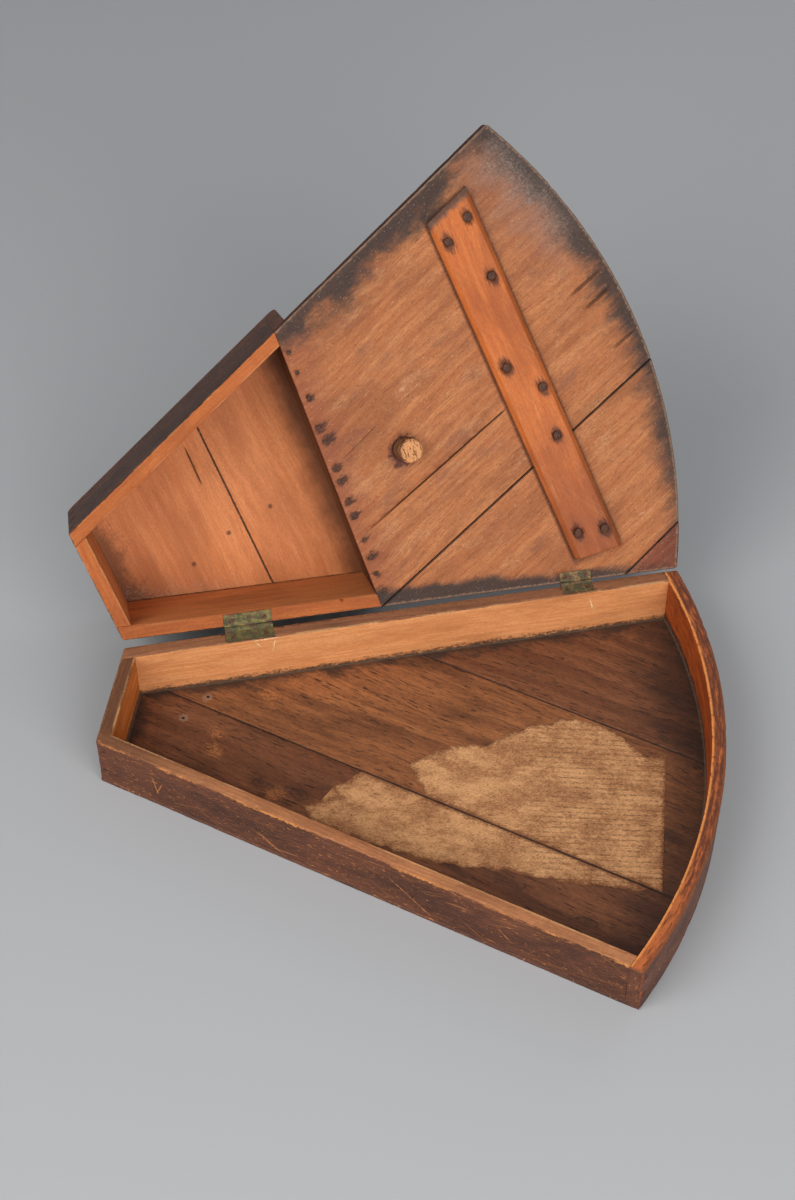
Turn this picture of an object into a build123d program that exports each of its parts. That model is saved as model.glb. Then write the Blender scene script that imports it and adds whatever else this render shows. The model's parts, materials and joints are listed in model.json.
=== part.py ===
from build123d import *
from math import atan2, cos, degrees, hypot, radians, sin, sqrt
import os

# A keystone case for a mariner's octant, standing open: a shallow tray with one
# arched wall, and a hinged lid that is flat over the arched end and raised like a
# hood over the narrow end. Millimetres. +X runs along the case towards the arch,
# +Y towards the hinges, +Z up. The origin is on the tray's underside, on the
# centre line, midway between the narrow end and the two wide corners.

# ---- driving dimensions -------------------------------------------------------

CASE_LENGTH = 424.0         # narrow end to the wide corners, along the centre line
NARROW_WIDTH = 95.0
WIDE_WIDTH = 388.0
ARC_RADIUS = 416.0          # outer face of the arched wall
TRAY_HEIGHT = 48.5
FLOOR_THICKNESS = 4.0
RAIL_THICKNESS = 11.0       # every upright wall
BOARD_THICKNESS = 10.0      # every board of the lid

OPEN_ANGLE = 123.1          # from shut to the pose modelled here
SHUT_GAP = 0.3              # between the two rims when the lid is shut
TABLE_GAP = 0.2             # under the hood's edge, which the open lid rests on
HINGE_OFFSET_NARROW = 3.2   # hinge line outside the hinge wall, at the narrow end
HINGE_OFFSET_WIDE = 0.6     # and at the wide end: the two hinges do not match

STEP_X_FRONT = -1.2         # where the hood's opening ends, on the front face
STEP_X_HINGE = -17.1        # and on the hinge face
HOOD_END_ROUND = 7.0        # worn ends of the hood's top
HOOD_EDGE_ROUND = 1.2       # its worn long edges
HOOD_JOINT_X = -87.5        # the joint across the hood's top

FLOOR_JOINTS = (98.0, 226.0)    # each joint's distance from the front face
LID_JOINT_INSETS = (216.5, 224.0)   # the lid's open joint: at the step and at the arch
CORNER_JOINT_START_X = 171.0    # the corner piece's joint, on the hinge edge
CORNER_JOINT_SLOPE = -20.3      # degrees from +X

BATTEN_X = (139.0, 178.0)
BATTEN_THICKNESS = 9.0
BATTEN_BEVEL = 3.5
BATTEN_FRONT_INSET = 24.0       # from the front face, measured along Y
BATTEN_HINGE_Y = (148.0, 153.5)

PEG_CENTRE = (54.8, 8.0)
PEG_BASE_RADIUS = 9.8
PEG_TOP_RADIUS = 8.8
PEG_HEIGHT = 12.5
PEG_TENON_RADIUS = 5.0

FIT = 0.03                  # round a nail, screw or tenon in its hole
NAIL_HEAD_DEPTH = 0.8
NAIL_SINK = 0.2             # heads just under the wood's face
OBLIQUE_SINK = 1.0          # the same where the face is not square to the nail
FINE_NAIL = (1.9, 0.9, 30.0)    # head radius, shank radius, length
LONG_NAIL = (1.9, 0.9, 36.0)
BATTEN_NAIL = (3.2, 1.3, 17.0)

PAPER_THICKNESS = 0.25

# Each hinge: place along the hinge wall from the narrow end, length, leaf width from
# the hinge line, leaf thickness, barrel radius, pin radius, and its screws.
HINGES = {
    "large_hinge": dict(place=99.0, length=38.0, width=12.6, plate=1.2, barrel=2.4,
                        pin=1.0, screw_spread=13.0, screw_inset=7.4, screw_head=2.2,
                        screw_shank=1.1, screw_length=9.0),
    "small_hinge": dict(place=364.5, length=25.4, width=9.8, plate=1.0, barrel=1.7,
                        pin=0.75, screw_spread=8.3, screw_inset=5.7, screw_head=1.9,
                        screw_shank=0.95, screw_length=7.5),
}
PIN_CLEARANCE = 0.05
KNUCKLE_GAP = 0.3
BARREL_CLEARANCE = 0.2      # wood cut back round the barrel
SLOT_WIDTH = 0.5
SLOT_DEPTH = 0.5

# ---- places worked out from them -----------------------------------------------

FRONT, HINGE = -1, 1        # the two long sides, as signs of Y
NARROW_X = -CASE_LENGTH / 2
WIDE_X = CASE_LENGTH / 2
SIDE_SLOPE = (WIDE_WIDTH - NARROW_WIDTH) / 2 / CASE_LENGTH
SIDE_COS = cos(atan2(SIDE_SLOPE, 1))
SIDE_SIN = sin(atan2(SIDE_SLOPE, 1))
ARC_CENTRE_X = WIDE_X - sqrt(ARC_RADIUS**2 - (WIDE_WIDTH / 2) ** 2)
MID_RAIL = RAIL_THICKNESS / 2
AXIS_Z = TRAY_HEIGHT + SHUT_GAP / 2


def half_width(x, inset=0.0):
    """Distance from the centre line to a long side's face, or to a line inside it."""
    return NARROW_WIDTH / 2 + SIDE_SLOPE * (x - NARROW_X) - inset / SIDE_COS


def side_point(side, x, inset=0.0):
    """A point in plan on a long side, or inset from it."""
    return (x, side * half_width(x, inset))


def side_meets_arc(inset, radius):
    """X where a line inside a long side meets an arc about the arch's centre."""
    start = half_width(0, inset)
    a = 1 + SIDE_SLOPE**2
    b = start * SIDE_SLOPE - ARC_CENTRE_X
    c = start**2 + ARC_CENTRE_X**2 - radius**2
    return (-b + sqrt(b * b - a * c)) / a


STEP_RUN = (STEP_X_HINGE - STEP_X_FRONT) / (half_width(STEP_X_HINGE) + half_width(STEP_X_FRONT))


def step_x(y, beyond=0.0):
    """X of the step across the lid at a given Y, or of a line parallel to it."""
    return STEP_X_FRONT + STEP_RUN * (y + half_width(STEP_X_FRONT)) + beyond * hypot(1, STEP_RUN)


def step_point(side, inset=0.0, beyond=0.0):
    """Where a line inside a long side crosses the step, or a line parallel to it."""
    at_zero = step_x(0, beyond)
    x = (at_zero + STEP_RUN * side * half_width(0, inset)) / (1 - STEP_RUN * side * SIDE_SLOPE)
    return side_point(side, x, inset)


def front_parallel(inset, x):
    """A point at a distance from the front face, on a line parallel to it."""
    return (x, -half_width(x) + inset / SIDE_COS)


# ---- the hinge line and the open lid -------------------------------------------

outward = Vector(-SIDE_SIN, SIDE_COS, 0)
axis_start = Vector(NARROW_X, NARROW_WIDTH / 2, AXIS_Z) + outward * HINGE_OFFSET_NARROW
axis_end = Vector(WIDE_X, WIDE_WIDTH / 2, AXIS_Z) + outward * HINGE_OFFSET_WIDE
axis_direction = (axis_end - axis_start).normalized()
hinge_line = Axis(axis_start, axis_direction)


def opened(direction):
    """A direction of the shut lid, turned with the lid to where it stands open."""
    return Vector(*direction).rotate(hinge_line, -OPEN_ANGLE)


# Everything on the lid is drawn on this plane, in the coordinates of the shut case.
shut_origin = Vector(0, 0, TRAY_HEIGHT + SHUT_GAP)
lid_rim = Plane(
    origin=axis_start + opened(shut_origin - axis_start),
    x_dir=opened((1, 0, 0)),
    z_dir=opened((0, 0, 1)),
)
lid_inside = Plane(origin=lid_rim.origin, x_dir=lid_rim.x_dir, z_dir=-lid_rim.z_dir)
lid_along = Axis(lid_rim.origin, lid_rim.x_dir)
lid_across = Axis(lid_rim.origin, lid_rim.y_dir)
lid_up = Axis(lid_rim.origin, lid_rim.z_dir)


def lid_place(point):
    """A point in plan on the lid's rim, where the open lid carries it."""
    return lid_rim.from_local_coords(Vector(point[0], point[1], 0))


def tray_place(point):
    """A point in plan on the tray's underside."""
    return Vector(point[0], point[1], 0)


# The hood is as tall as it must be for its hinge-side top edge to come down to the
# table. Its lowest spot is at the step, where the hinge line is nearest.
touching = step_point(HINGE, beyond=RAIL_THICKNESS)
share = (touching[0] - NARROW_X) / CASE_LENGTH
touching_offset = HINGE_OFFSET_NARROW + (HINGE_OFFSET_WIDE - HINGE_OFFSET_NARROW) * share
lean = radians(OPEN_ANGLE)
edge_rise = (touching_offset + HOOD_EDGE_ROUND) * sin(lean) - HOOD_EDGE_ROUND
HOOD_HEIGHT = (AXIS_Z + edge_rise - TABLE_GAP) / -cos(lean) + HOOD_EDGE_ROUND - SHUT_GAP / 2
HOOD_CEILING = HOOD_HEIGHT - BOARD_THICKNESS

os.makedirs("parts", exist_ok=True)


def save(builder, name):
    """Label a finished piece and write it out."""
    builder.part.label = name
    export_step(builder.part, f"parts/{name}.step")


# ---- plans: the case's outline, cut by straight lines ---------------------------

with BuildSketch() as case_plan:
    with BuildLine():
        Polyline(
            side_point(FRONT, WIDE_X),
            side_point(FRONT, NARROW_X),
            side_point(HINGE, NARROW_X),
            side_point(HINGE, WIDE_X),
        )
        ThreePointArc(
            side_point(HINGE, WIDE_X),
            (ARC_CENTRE_X + ARC_RADIUS, 0),
            side_point(FRONT, WIDE_X),
        )
    make_face()


def keep_left(first, last):
    """Keep what lies to the left of a line from one point to another."""
    reach = 2 * CASE_LENGTH
    run = (Vector(*last) - Vector(*first)).normalized() * reach
    left = Vector(-run.Y, run.X)
    start = Vector(*first) - run
    end = Vector(*last) + run
    corners = [start, end, end + left, start + left]
    Polygon(*[(v.X, v.Y) for v in corners], align=None, mode=Mode.INTERSECT)


def keep_side_rail(side):
    """Keep the thickness of one long wall."""
    ends = [side_point(side, x, RAIL_THICKNESS) for x in (NARROW_X, WIDE_X)]
    keep_left(*ends[::side])


def keep_between_rails():
    """Keep what lies between the two long walls."""
    for side in (FRONT, HINGE):
        ends = [side_point(side, x, RAIL_THICKNESS) for x in (WIDE_X, NARROW_X)]
        keep_left(*ends[::side])


def keep_end_rail():
    """Keep the thickness of the narrow end's wall."""
    x = NARROW_X + RAIL_THICKNESS
    keep_left((x, -1), (x, 1))


def keep_before_step(beyond=0.0):
    """Keep the hood's side of the step line."""
    keep_left((step_x(-1, beyond), -1), (step_x(1, beyond), 1))


def keep_after_step():
    """Keep the flat side of the step line."""
    keep_left((step_x(1), 1), (step_x(-1), -1))


def keep_within_arc(mode=Mode.INTERSECT):
    """Keep, or take away, everything inside the arched wall's inner face."""
    with Locations((ARC_CENTRE_X, 0)):
        Circle(ARC_RADIUS - RAIL_THICKNESS, mode=mode)


# ---- nails ---------------------------------------------------------------------


def drive(face, points, kind):
    """Nails with their heads on a face and their shanks going in against its normal."""
    head, shank, length = kind
    for radius, depth in ((head, NAIL_HEAD_DEPTH), (shank, length)):
        with BuildSketch(face) as circles:
            with Locations(*points):
                Circle(radius)
        extrude(circles.sketch, amount=-depth)


def bore(face, points, kind):
    """The holes that those nails sit in."""
    head, shank, length = kind
    start = 2 * OBLIQUE_SINK
    for radius, depth in ((head, NAIL_HEAD_DEPTH), (shank, length)):
        with BuildSketch(face.offset(start)) as circles:
            with Locations(*points):
                Circle(radius + FIT)
        extrude(circles.sketch, amount=-(start + depth + FIT), mode=Mode.SUBTRACT)


def spaced(first, last, count):
    """Evenly spaced points in plan from one point to another."""
    run = (last[0] - first[0], last[1] - first[1])
    shares = [i / (count - 1) for i in range(count)]
    return [(first[0] + run[0] * t, first[1] + run[1] * t) for t in shares]


# Up through the floor into the walls. Seen from below, Y runs the other way.
floor_face = Plane(origin=(0, 0, NAIL_SINK), x_dir=(1, 0, 0), z_dir=(0, 0, -1))
floor_nails_above = [(NARROW_X + MID_RAIL, -6), (NARROW_X + MID_RAIL, 6)]
for side in (FRONT, HINGE):
    first = side_point(side, NARROW_X + 24, MID_RAIL)
    last = side_point(side, WIDE_X - 60, MID_RAIL)
    floor_nails_above += spaced(first, last, 7)
for i in range(7):
    angle = radians(7.5 * (i - 3))
    reach = ARC_RADIUS - MID_RAIL
    floor_nails_above.append((ARC_CENTRE_X + reach * cos(angle), reach * sin(angle)))
floor_nail_points = [(x, -y) for x, y in floor_nails_above]

# Down through the hood's top into its walls.
hood_top = lid_rim.offset(HOOD_HEIGHT - NAIL_SINK)
hood_nail_points = [(NARROW_X + MID_RAIL, 0)]
for side in (FRONT, HINGE):
    first = side_point(side, NARROW_X + 16, MID_RAIL)
    last = side_point(side, STEP_X_HINGE - 14, MID_RAIL)
    hood_nail_points += spaced(first, last, 6)
hood_nail_points += [(step_x(y, MID_RAIL), y) for y in (-94, -48, 0, 46, 90)]

# From inside the flat lid up into the step wall, a ragged hand-driven row.
step_face = lid_inside.offset(-NAIL_SINK)
step_nail_ys = (-101, -84, -62, -38, -26, -3, 8, 25, 38, 59, 74, 88, 103)
step_nail_points = [(step_x(y, MID_RAIL + sin(3 * y)), -y) for y in step_nail_ys]

# Through the batten into the flat lid, with proud heads.
batten_face = lid_inside.offset(BATTEN_THICKNESS + NAIL_HEAD_DEPTH)
batten_nail_places = (
    (148, -126), (169, -137), (168, -88), (150, -18),
    (170, 8), (165, 48), (149, 128), (170, 134),
)
batten_nail_points = [(x, -y) for x, y in batten_nail_places]


def nail_row(place, point, up, towards_head, heights):
    """Nails one above another at a point in plan: the face of their heads, and points."""
    face = Plane(origin=place(point), x_dir=up, z_dir=towards_head)
    return face.offset(-OBLIQUE_SINK), [(h, 0) for h in heights]


tray_rows = []
hood_rows = []
for side in (FRONT, HINGE):
    up = Vector(0, 0, 1)
    end = side_point(side, NARROW_X + MID_RAIL)
    tray_rows.append(nail_row(tray_place, end, up, Vector(0, side, 0), (16, 37)))
    hood_rows.append(nail_row(lid_place, end, lid_rim.z_dir, opened((0, side, 0)), (14, 40, 66)))
    along = (SIDE_COS, side * SIDE_SIN, 0)
    arch = side_point(side, side_meets_arc(MID_RAIL, ARC_RADIUS), MID_RAIL)
    tray_rows.append(nail_row(tray_place, arch, up, Vector(*along), (16, 37)))
    step = step_point(side, MID_RAIL, RAIL_THICKNESS)
    hood_rows.append(nail_row(lid_place, step, lid_rim.z_dir, opened(along), (24, 50)))

# ---- hinge fittings: Z goes into the wood from the hinge line, Y points outwards ---


def leaf_plane(hinge, on_lid):
    """The plane one leaf is drawn on, at the middle of its hinge."""
    centre = axis_start + axis_direction * hinge["place"]
    if on_lid:
        return Plane(origin=centre, x_dir=axis_direction, z_dir=opened((0, 0, 1)))
    return Plane(origin=centre, x_dir=-axis_direction, z_dir=(0, 0, -1))


def across(plane):
    """A plane square to the hinge line."""
    return Plane(origin=plane.origin, x_dir=plane.y_dir, z_dir=plane.x_dir)


def screw_points(hinge):
    """Where a leaf's screws go."""
    return [(x, -hinge["screw_inset"]) for x in (-hinge["screw_spread"], hinge["screw_spread"])]


def mortise(hinge, on_lid):
    """Let one leaf and the barrel into the wood, and bore for the screws."""
    plane = leaf_plane(hinge, on_lid)
    with BuildSketch(plane) as pocket:
        Rectangle(hinge["length"] + 2 * FIT, hinge["width"] + FIT, align=(Align.CENTER, Align.MAX))
    extrude(pocket.sketch, amount=SHUT_GAP / 2 + hinge["plate"], mode=Mode.SUBTRACT)
    with BuildSketch(across(plane)) as barrel:
        Circle(hinge["barrel"] + BARREL_CLEARANCE)
    half_length = hinge["length"] / 2 + BARREL_CLEARANCE
    extrude(barrel.sketch, amount=half_length, both=True, mode=Mode.SUBTRACT)
    with BuildSketch(plane) as holes:
        with Locations(*screw_points(hinge)):
            Circle(hinge["screw_shank"] + FIT)
    extrude(holes.sketch, amount=SHUT_GAP / 2 + hinge["screw_length"] + FIT, mode=Mode.SUBTRACT)


def make_leaf(name, hinge, on_lid):
    """One brass leaf: the lid's has the middle knuckle, the tray's the outer two."""
    plane = leaf_plane(hinge, on_lid)
    third = hinge["length"] / 3
    notch_reach = 2 * (hinge["barrel"] + KNUCKLE_GAP)
    with BuildPart() as leaf:
        with BuildSketch(plane.offset(SHUT_GAP / 2)):
            Rectangle(hinge["length"], hinge["width"], align=(Align.CENTER, Align.MAX))
        extrude(amount=hinge["plate"])
        with BuildSketch(across(plane)):
            Circle(hinge["barrel"])
        extrude(amount=hinge["length"] / 2, both=True)
        notches = [(0, third)]
        if on_lid:
            notches = [(-third, third), (third, third)]
        for centre, width in notches:
            with BuildSketch(plane.offset(-notch_reach)):
                with Locations((centre, 0)):
                    Rectangle(width + KNUCKLE_GAP, notch_reach)
            extrude(amount=2 * notch_reach, mode=Mode.SUBTRACT)
        with BuildSketch(across(plane)):
            Circle(hinge["pin"] + PIN_CLEARANCE)
        extrude(amount=hinge["length"], both=True, mode=Mode.SUBTRACT)
        with BuildSketch(plane.offset(SHUT_GAP / 2)):
            with Locations(*screw_points(hinge)):
                Circle(hinge["screw_head"] + FIT)
        taper = degrees(atan2(hinge["screw_head"] - hinge["screw_shank"], hinge["plate"]))
        extrude(amount=hinge["plate"], taper=taper, mode=Mode.SUBTRACT)
    save(leaf, name)


def make_screws(name, hinge, on_lid):
    """A leaf's two countersunk screws, with slotted heads."""
    plane = leaf_plane(hinge, on_lid)
    with BuildPart() as screws:
        with BuildSketch(plane.offset(SHUT_GAP / 2)):
            with Locations(*screw_points(hinge)):
                Circle(hinge["screw_head"])
        taper = degrees(atan2(hinge["screw_head"] - hinge["screw_shank"], hinge["plate"]))
        extrude(amount=hinge["plate"], taper=taper)
        with BuildSketch(plane.offset(SHUT_GAP / 2)):
            with Locations(*screw_points(hinge)):
                Circle(hinge["screw_shank"])
        extrude(amount=hinge["screw_length"])
        with BuildSketch(plane.offset(SHUT_GAP / 2)):
            with Locations(*screw_points(hinge)):
                Rectangle(SLOT_WIDTH, 2 * hinge["screw_head"] + 1, rotation=35)
        extrude(amount=SLOT_DEPTH, mode=Mode.SUBTRACT)
    save(screws, name)


for hinge_name, hinge in HINGES.items():
    for leaf_name, on_lid in (("base", False), ("lid", True)):
        make_leaf(f"{hinge_name}_{leaf_name}_leaf", hinge, on_lid)
        make_screws(f"{hinge_name}_{leaf_name}_screws", hinge, on_lid)
    with BuildPart() as hinge_pin:
        with BuildSketch(across(leaf_plane(hinge, False))):
            Circle(hinge["pin"])
        extrude(amount=hinge["length"] / 2, both=True)
    save(hinge_pin, f"{hinge_name}_pin")

# ---- the tray ------------------------------------------------------------------

RAIL_FOOT = Plane.XY.offset(FLOOR_THICKNESS)
RAIL_HEIGHT = TRAY_HEIGHT - FLOOR_THICKNESS


def bore_tray():
    """Every nail hole that may run through a piece of the tray."""
    bore(floor_face, floor_nail_points, FINE_NAIL)
    for face, points in tray_rows:
        bore(face, points, LONG_NAIL)


with BuildPart() as tray_front_rail:
    with BuildSketch(RAIL_FOOT):
        add(case_plan.sketch)
        keep_side_rail(FRONT)
        keep_within_arc()
    extrude(amount=RAIL_HEIGHT)
    bore_tray()
save(tray_front_rail, "tray_front_rail")

with BuildPart() as tray_hinge_rail:
    with BuildSketch(RAIL_FOOT):
        add(case_plan.sketch)
        keep_side_rail(HINGE)
        keep_within_arc()
    extrude(amount=RAIL_HEIGHT)
    bore_tray()
    for hinge in HINGES.values():
        mortise(hinge, on_lid=False)
save(tray_hinge_rail, "tray_hinge_rail")

with BuildPart() as tray_end_rail:
    with BuildSketch(RAIL_FOOT):
        add(case_plan.sketch)
        keep_end_rail()
        keep_between_rails()
    extrude(amount=RAIL_HEIGHT)
    bore_tray()
save(tray_end_rail, "tray_end_rail")

with BuildPart() as tray_arc_rail:
    with BuildSketch(RAIL_FOOT):
        add(case_plan.sketch)
        keep_within_arc(Mode.SUBTRACT)
    extrude(amount=RAIL_HEIGHT)
    bore_tray()
save(tray_arc_rail, "tray_arc_rail")


def make_floor_board(name, near, far):
    """A floor board between two distances from the front face."""
    with BuildPart() as board:
        with BuildSketch():
            add(case_plan.sketch)
            keep_left(front_parallel(near, -1), front_parallel(near, 1))
            keep_left(front_parallel(far, 1), front_parallel(far, -1))
        extrude(amount=FLOOR_THICKNESS)
        bore_tray()
    save(board, name)


floor_edges = (0.0, *FLOOR_JOINTS, WIDE_WIDTH)
for index, name in enumerate(("floor_board_front", "floor_board_middle", "floor_board_hinge")):
    make_floor_board(name, floor_edges[index], floor_edges[index + 1])

with BuildPart() as floor_nails:
    drive(floor_face, floor_nail_points, FINE_NAIL)
save(floor_nails, "floor_nails")

with BuildPart() as tray_corner_nails:
    for face, points in tray_rows:
        drive(face, points, LONG_NAIL)
save(tray_corner_nails, "tray_corner_nails")

# What is left of a sheet once pasted over the floor, torn along the first joint.
upper_remnant = (
    front_parallel(FLOOR_JOINTS[0] + 1, 38), front_parallel(FLOOR_JOINTS[0] + 1, 222),
    (217, 37), (202, 32), (192, 43), (159, 62), (134, 62), (113, 51), (90, 39),
    (79, 28), (49, 22), (21, 0),
)
lower_remnant = (
    front_parallel(FLOOR_JOINTS[0] - 1, -14), (-32, -31), (-26, -40), (-53, -53),
    (-45, -65), (0, -79), (51, -90), (99, -90), (147, -94), (200, -95),
    front_parallel(FLOOR_JOINTS[0] - 1, 212),
)
with BuildPart() as paper_remnant:
    with BuildSketch(RAIL_FOOT):
        Polygon(*upper_remnant, align=None)
        Polygon(*lower_remnant, align=None)
    extrude(amount=PAPER_THICKNESS)
save(paper_remnant, "paper_remnant")

# ---- the lid's hood --------------------------------------------------------------


def bore_hood():
    """Every nail hole that may run through a piece of the hood."""
    bore(hood_top, hood_nail_points, FINE_NAIL)
    for face, points in hood_rows:
        bore(face, points, LONG_NAIL)


with BuildPart() as lid_front_rail:
    with BuildSketch(lid_rim):
        add(case_plan.sketch)
        keep_side_rail(FRONT)
        keep_before_step()
    extrude(amount=HOOD_CEILING)
    bore_hood()
save(lid_front_rail, "lid_front_rail")

with BuildPart() as lid_hinge_rail:
    with BuildSketch(lid_rim):
        add(case_plan.sketch)
        keep_side_rail(HINGE)
        keep_before_step()
    extrude(amount=HOOD_CEILING)
    bore_hood()
    mortise(HINGES["large_hinge"], on_lid=True)
save(lid_hinge_rail, "lid_hinge_rail")

with BuildPart() as lid_end_rail:
    with BuildSketch(lid_rim):
        add(case_plan.sketch)
        keep_end_rail()
        keep_between_rails()
    extrude(amount=HOOD_CEILING)
    bore_hood()
save(lid_end_rail, "lid_end_rail")

# The step wall stands on the flat board's edge and covers the ends of both sides.
with BuildPart() as step_wall:
    with BuildSketch(lid_rim.offset(BOARD_THICKNESS)):
        add(case_plan.sketch)
        keep_after_step()
        keep_before_step(RAIL_THICKNESS)
    extrude(amount=HOOD_CEILING - BOARD_THICKNESS)
    bore_hood()
    bore(step_face, step_nail_points, FINE_NAIL)
save(step_wall, "step_wall")


def round_hood_board(end):
    """Wear the outer end and the long edges of a hood board's top."""
    top = faces().sort_by(lid_up)[-1]
    fillet(top.edges().sort_by(lid_along)[end], HOOD_END_ROUND)
    top = faces().filter_by(lid_rim).sort_by(lid_up)[-1]
    sides = top.edges().sort_by(lid_across)
    fillet([sides[0], sides[-1]], HOOD_EDGE_ROUND)


with BuildPart() as hood_board_narrow:
    with BuildSketch(lid_rim.offset(HOOD_CEILING)):
        add(case_plan.sketch)
        keep_left((HOOD_JOINT_X, -1), (HOOD_JOINT_X, 1))
    extrude(amount=BOARD_THICKNESS)
    round_hood_board(end=0)
    bore_hood()
save(hood_board_narrow, "hood_board_narrow")

with BuildPart() as hood_board_step:
    with BuildSketch(lid_rim.offset(HOOD_CEILING)):
        add(case_plan.sketch)
        keep_left((HOOD_JOINT_X, 1), (HOOD_JOINT_X, -1))
        keep_before_step(RAIL_THICKNESS)
    extrude(amount=BOARD_THICKNESS)
    round_hood_board(end=-1)
    bore_hood()
save(hood_board_step, "hood_board_step")

with BuildPart() as hood_board_nails:
    drive(hood_top, hood_nail_points, FINE_NAIL)
save(hood_board_nails, "hood_board_nails")

with BuildPart() as hood_corner_nails:
    for face, points in hood_rows:
        drive(face, points, LONG_NAIL)
save(hood_corner_nails, "hood_corner_nails")

# ---- the lid's flat boards, batten and peg -----------------------------------------

arch_x = ARC_CENTRE_X + ARC_RADIUS
open_joint = (
    front_parallel(LID_JOINT_INSETS[0], step_x(100)),
    front_parallel(LID_JOINT_INSETS[1], arch_x),
)
corner_joint_start = Vector(*side_point(HINGE, CORNER_JOINT_START_X))
corner_run = Vector(cos(radians(CORNER_JOINT_SLOPE)), sin(radians(CORNER_JOINT_SLOPE)))
corner_joint = [(v.X, v.Y) for v in (corner_joint_start, corner_joint_start + corner_run)]
peg_foot = Plane(
    origin=lid_place(PEG_CENTRE), x_dir=lid_inside.x_dir, z_dir=lid_inside.z_dir
)


def bore_flat():
    """Nail holes in the flat boards."""
    bore(step_face, step_nail_points, FINE_NAIL)
    bore(batten_face, batten_nail_points, BATTEN_NAIL)


with BuildPart() as flat_board_front:
    with BuildSketch(lid_rim):
        add(case_plan.sketch)
        keep_after_step()
        keep_left(open_joint[1], open_joint[0])
    extrude(amount=BOARD_THICKNESS)
    bore_flat()
    with BuildSketch(peg_foot):
        Circle(PEG_TENON_RADIUS + FIT)
    extrude(amount=-BOARD_THICKNESS, mode=Mode.SUBTRACT)
save(flat_board_front, "flat_board_front")

with BuildPart() as flat_board_hinge:
    with BuildSketch(lid_rim):
        add(case_plan.sketch)
        keep_after_step()
        keep_left(*open_joint)
        keep_left(corner_joint[1], corner_joint[0])
    extrude(amount=BOARD_THICKNESS)
    bore_flat()
    mortise(HINGES["small_hinge"], on_lid=True)
save(flat_board_hinge, "flat_board_hinge")

with BuildPart() as flat_board_corner:
    with BuildSketch(lid_rim):
        add(case_plan.sketch)
        keep_left(*corner_joint)
    extrude(amount=BOARD_THICKNESS)
save(flat_board_corner, "flat_board_corner")

with BuildPart() as step_nails:
    drive(step_face, step_nail_points, FINE_NAIL)
save(step_nails, "step_nails")

batten_corners = [(x, -half_width(x) + BATTEN_FRONT_INSET) for x in BATTEN_X]
batten_corners += list(zip(BATTEN_X, BATTEN_HINGE_Y))[::-1]
with BuildPart() as batten:
    with BuildSketch(lid_rim.offset(-BATTEN_THICKNESS)):
        Polygon(*batten_corners, align=None)
    extrude(amount=BATTEN_THICKNESS)
    face_edges = faces().sort_by(lid_up)[0].edges()
    hinge_end = face_edges.sort_by(lid_across)[-1]
    chamfer([edge for edge in face_edges if edge != hinge_end], BATTEN_BEVEL)
    bore(batten_face, batten_nail_points, BATTEN_NAIL)
save(batten, "batten")

with BuildPart() as batten_nails:
    drive(batten_face, batten_nail_points, BATTEN_NAIL)
save(batten_nails, "batten_nails")

with BuildPart(peg_foot) as chock_peg:
    Cone(PEG_BASE_RADIUS, PEG_TOP_RADIUS, PEG_HEIGHT, align=(Align.CENTER, Align.CENTER, Align.MIN))
    Cylinder(PEG_TENON_RADIUS, BOARD_THICKNESS, align=(Align.CENTER, Align.CENTER, Align.MAX))
save(chock_peg, "chock_peg")

print("hood height", round(HOOD_HEIGHT, 2), "mm")
print("hinge line from", axis_start, "towards", axis_direction)
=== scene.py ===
# %% [markdown]
# # A keystone case for an octant, standing open
#
# The case is a shallow wooden tray with one arched wall, and a lid that is flat over
# the arch and raised like a hood over the narrow end. It was made by a ship's joiner
# from softwood boards and iron nails, then stained, handled and left damp for two
# hundred years. The joiner's frame fixes every size, so this lesson only dresses it:
# it wears the boards' arrises, drives in rusty nails, and paints wood, grime, paper,
# iron and brass with nodes.

# %% Load the frame
import functools
import json
import math
import operator

import bmesh
import bpy
import numpy as np
from mathutils import Matrix, Vector, noise

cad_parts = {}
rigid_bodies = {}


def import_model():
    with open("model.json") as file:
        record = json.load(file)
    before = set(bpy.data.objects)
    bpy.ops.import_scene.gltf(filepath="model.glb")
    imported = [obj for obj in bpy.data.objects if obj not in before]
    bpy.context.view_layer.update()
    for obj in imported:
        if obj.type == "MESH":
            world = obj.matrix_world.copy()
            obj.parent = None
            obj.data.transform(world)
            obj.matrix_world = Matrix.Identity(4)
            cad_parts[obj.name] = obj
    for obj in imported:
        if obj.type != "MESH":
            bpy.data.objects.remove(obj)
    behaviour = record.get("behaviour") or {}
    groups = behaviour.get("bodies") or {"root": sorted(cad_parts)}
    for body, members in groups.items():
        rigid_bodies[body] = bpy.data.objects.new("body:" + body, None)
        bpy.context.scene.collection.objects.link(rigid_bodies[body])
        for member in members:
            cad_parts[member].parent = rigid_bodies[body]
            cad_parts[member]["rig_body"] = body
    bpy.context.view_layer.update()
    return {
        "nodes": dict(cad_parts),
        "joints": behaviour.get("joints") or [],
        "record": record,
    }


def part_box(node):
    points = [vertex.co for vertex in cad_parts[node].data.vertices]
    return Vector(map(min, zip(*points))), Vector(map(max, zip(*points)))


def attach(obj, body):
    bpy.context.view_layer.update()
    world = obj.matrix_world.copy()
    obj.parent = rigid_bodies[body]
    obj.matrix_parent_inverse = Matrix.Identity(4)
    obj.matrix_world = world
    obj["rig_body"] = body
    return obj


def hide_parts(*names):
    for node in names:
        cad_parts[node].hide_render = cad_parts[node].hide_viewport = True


noise.seed_set(5)
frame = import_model()

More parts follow.
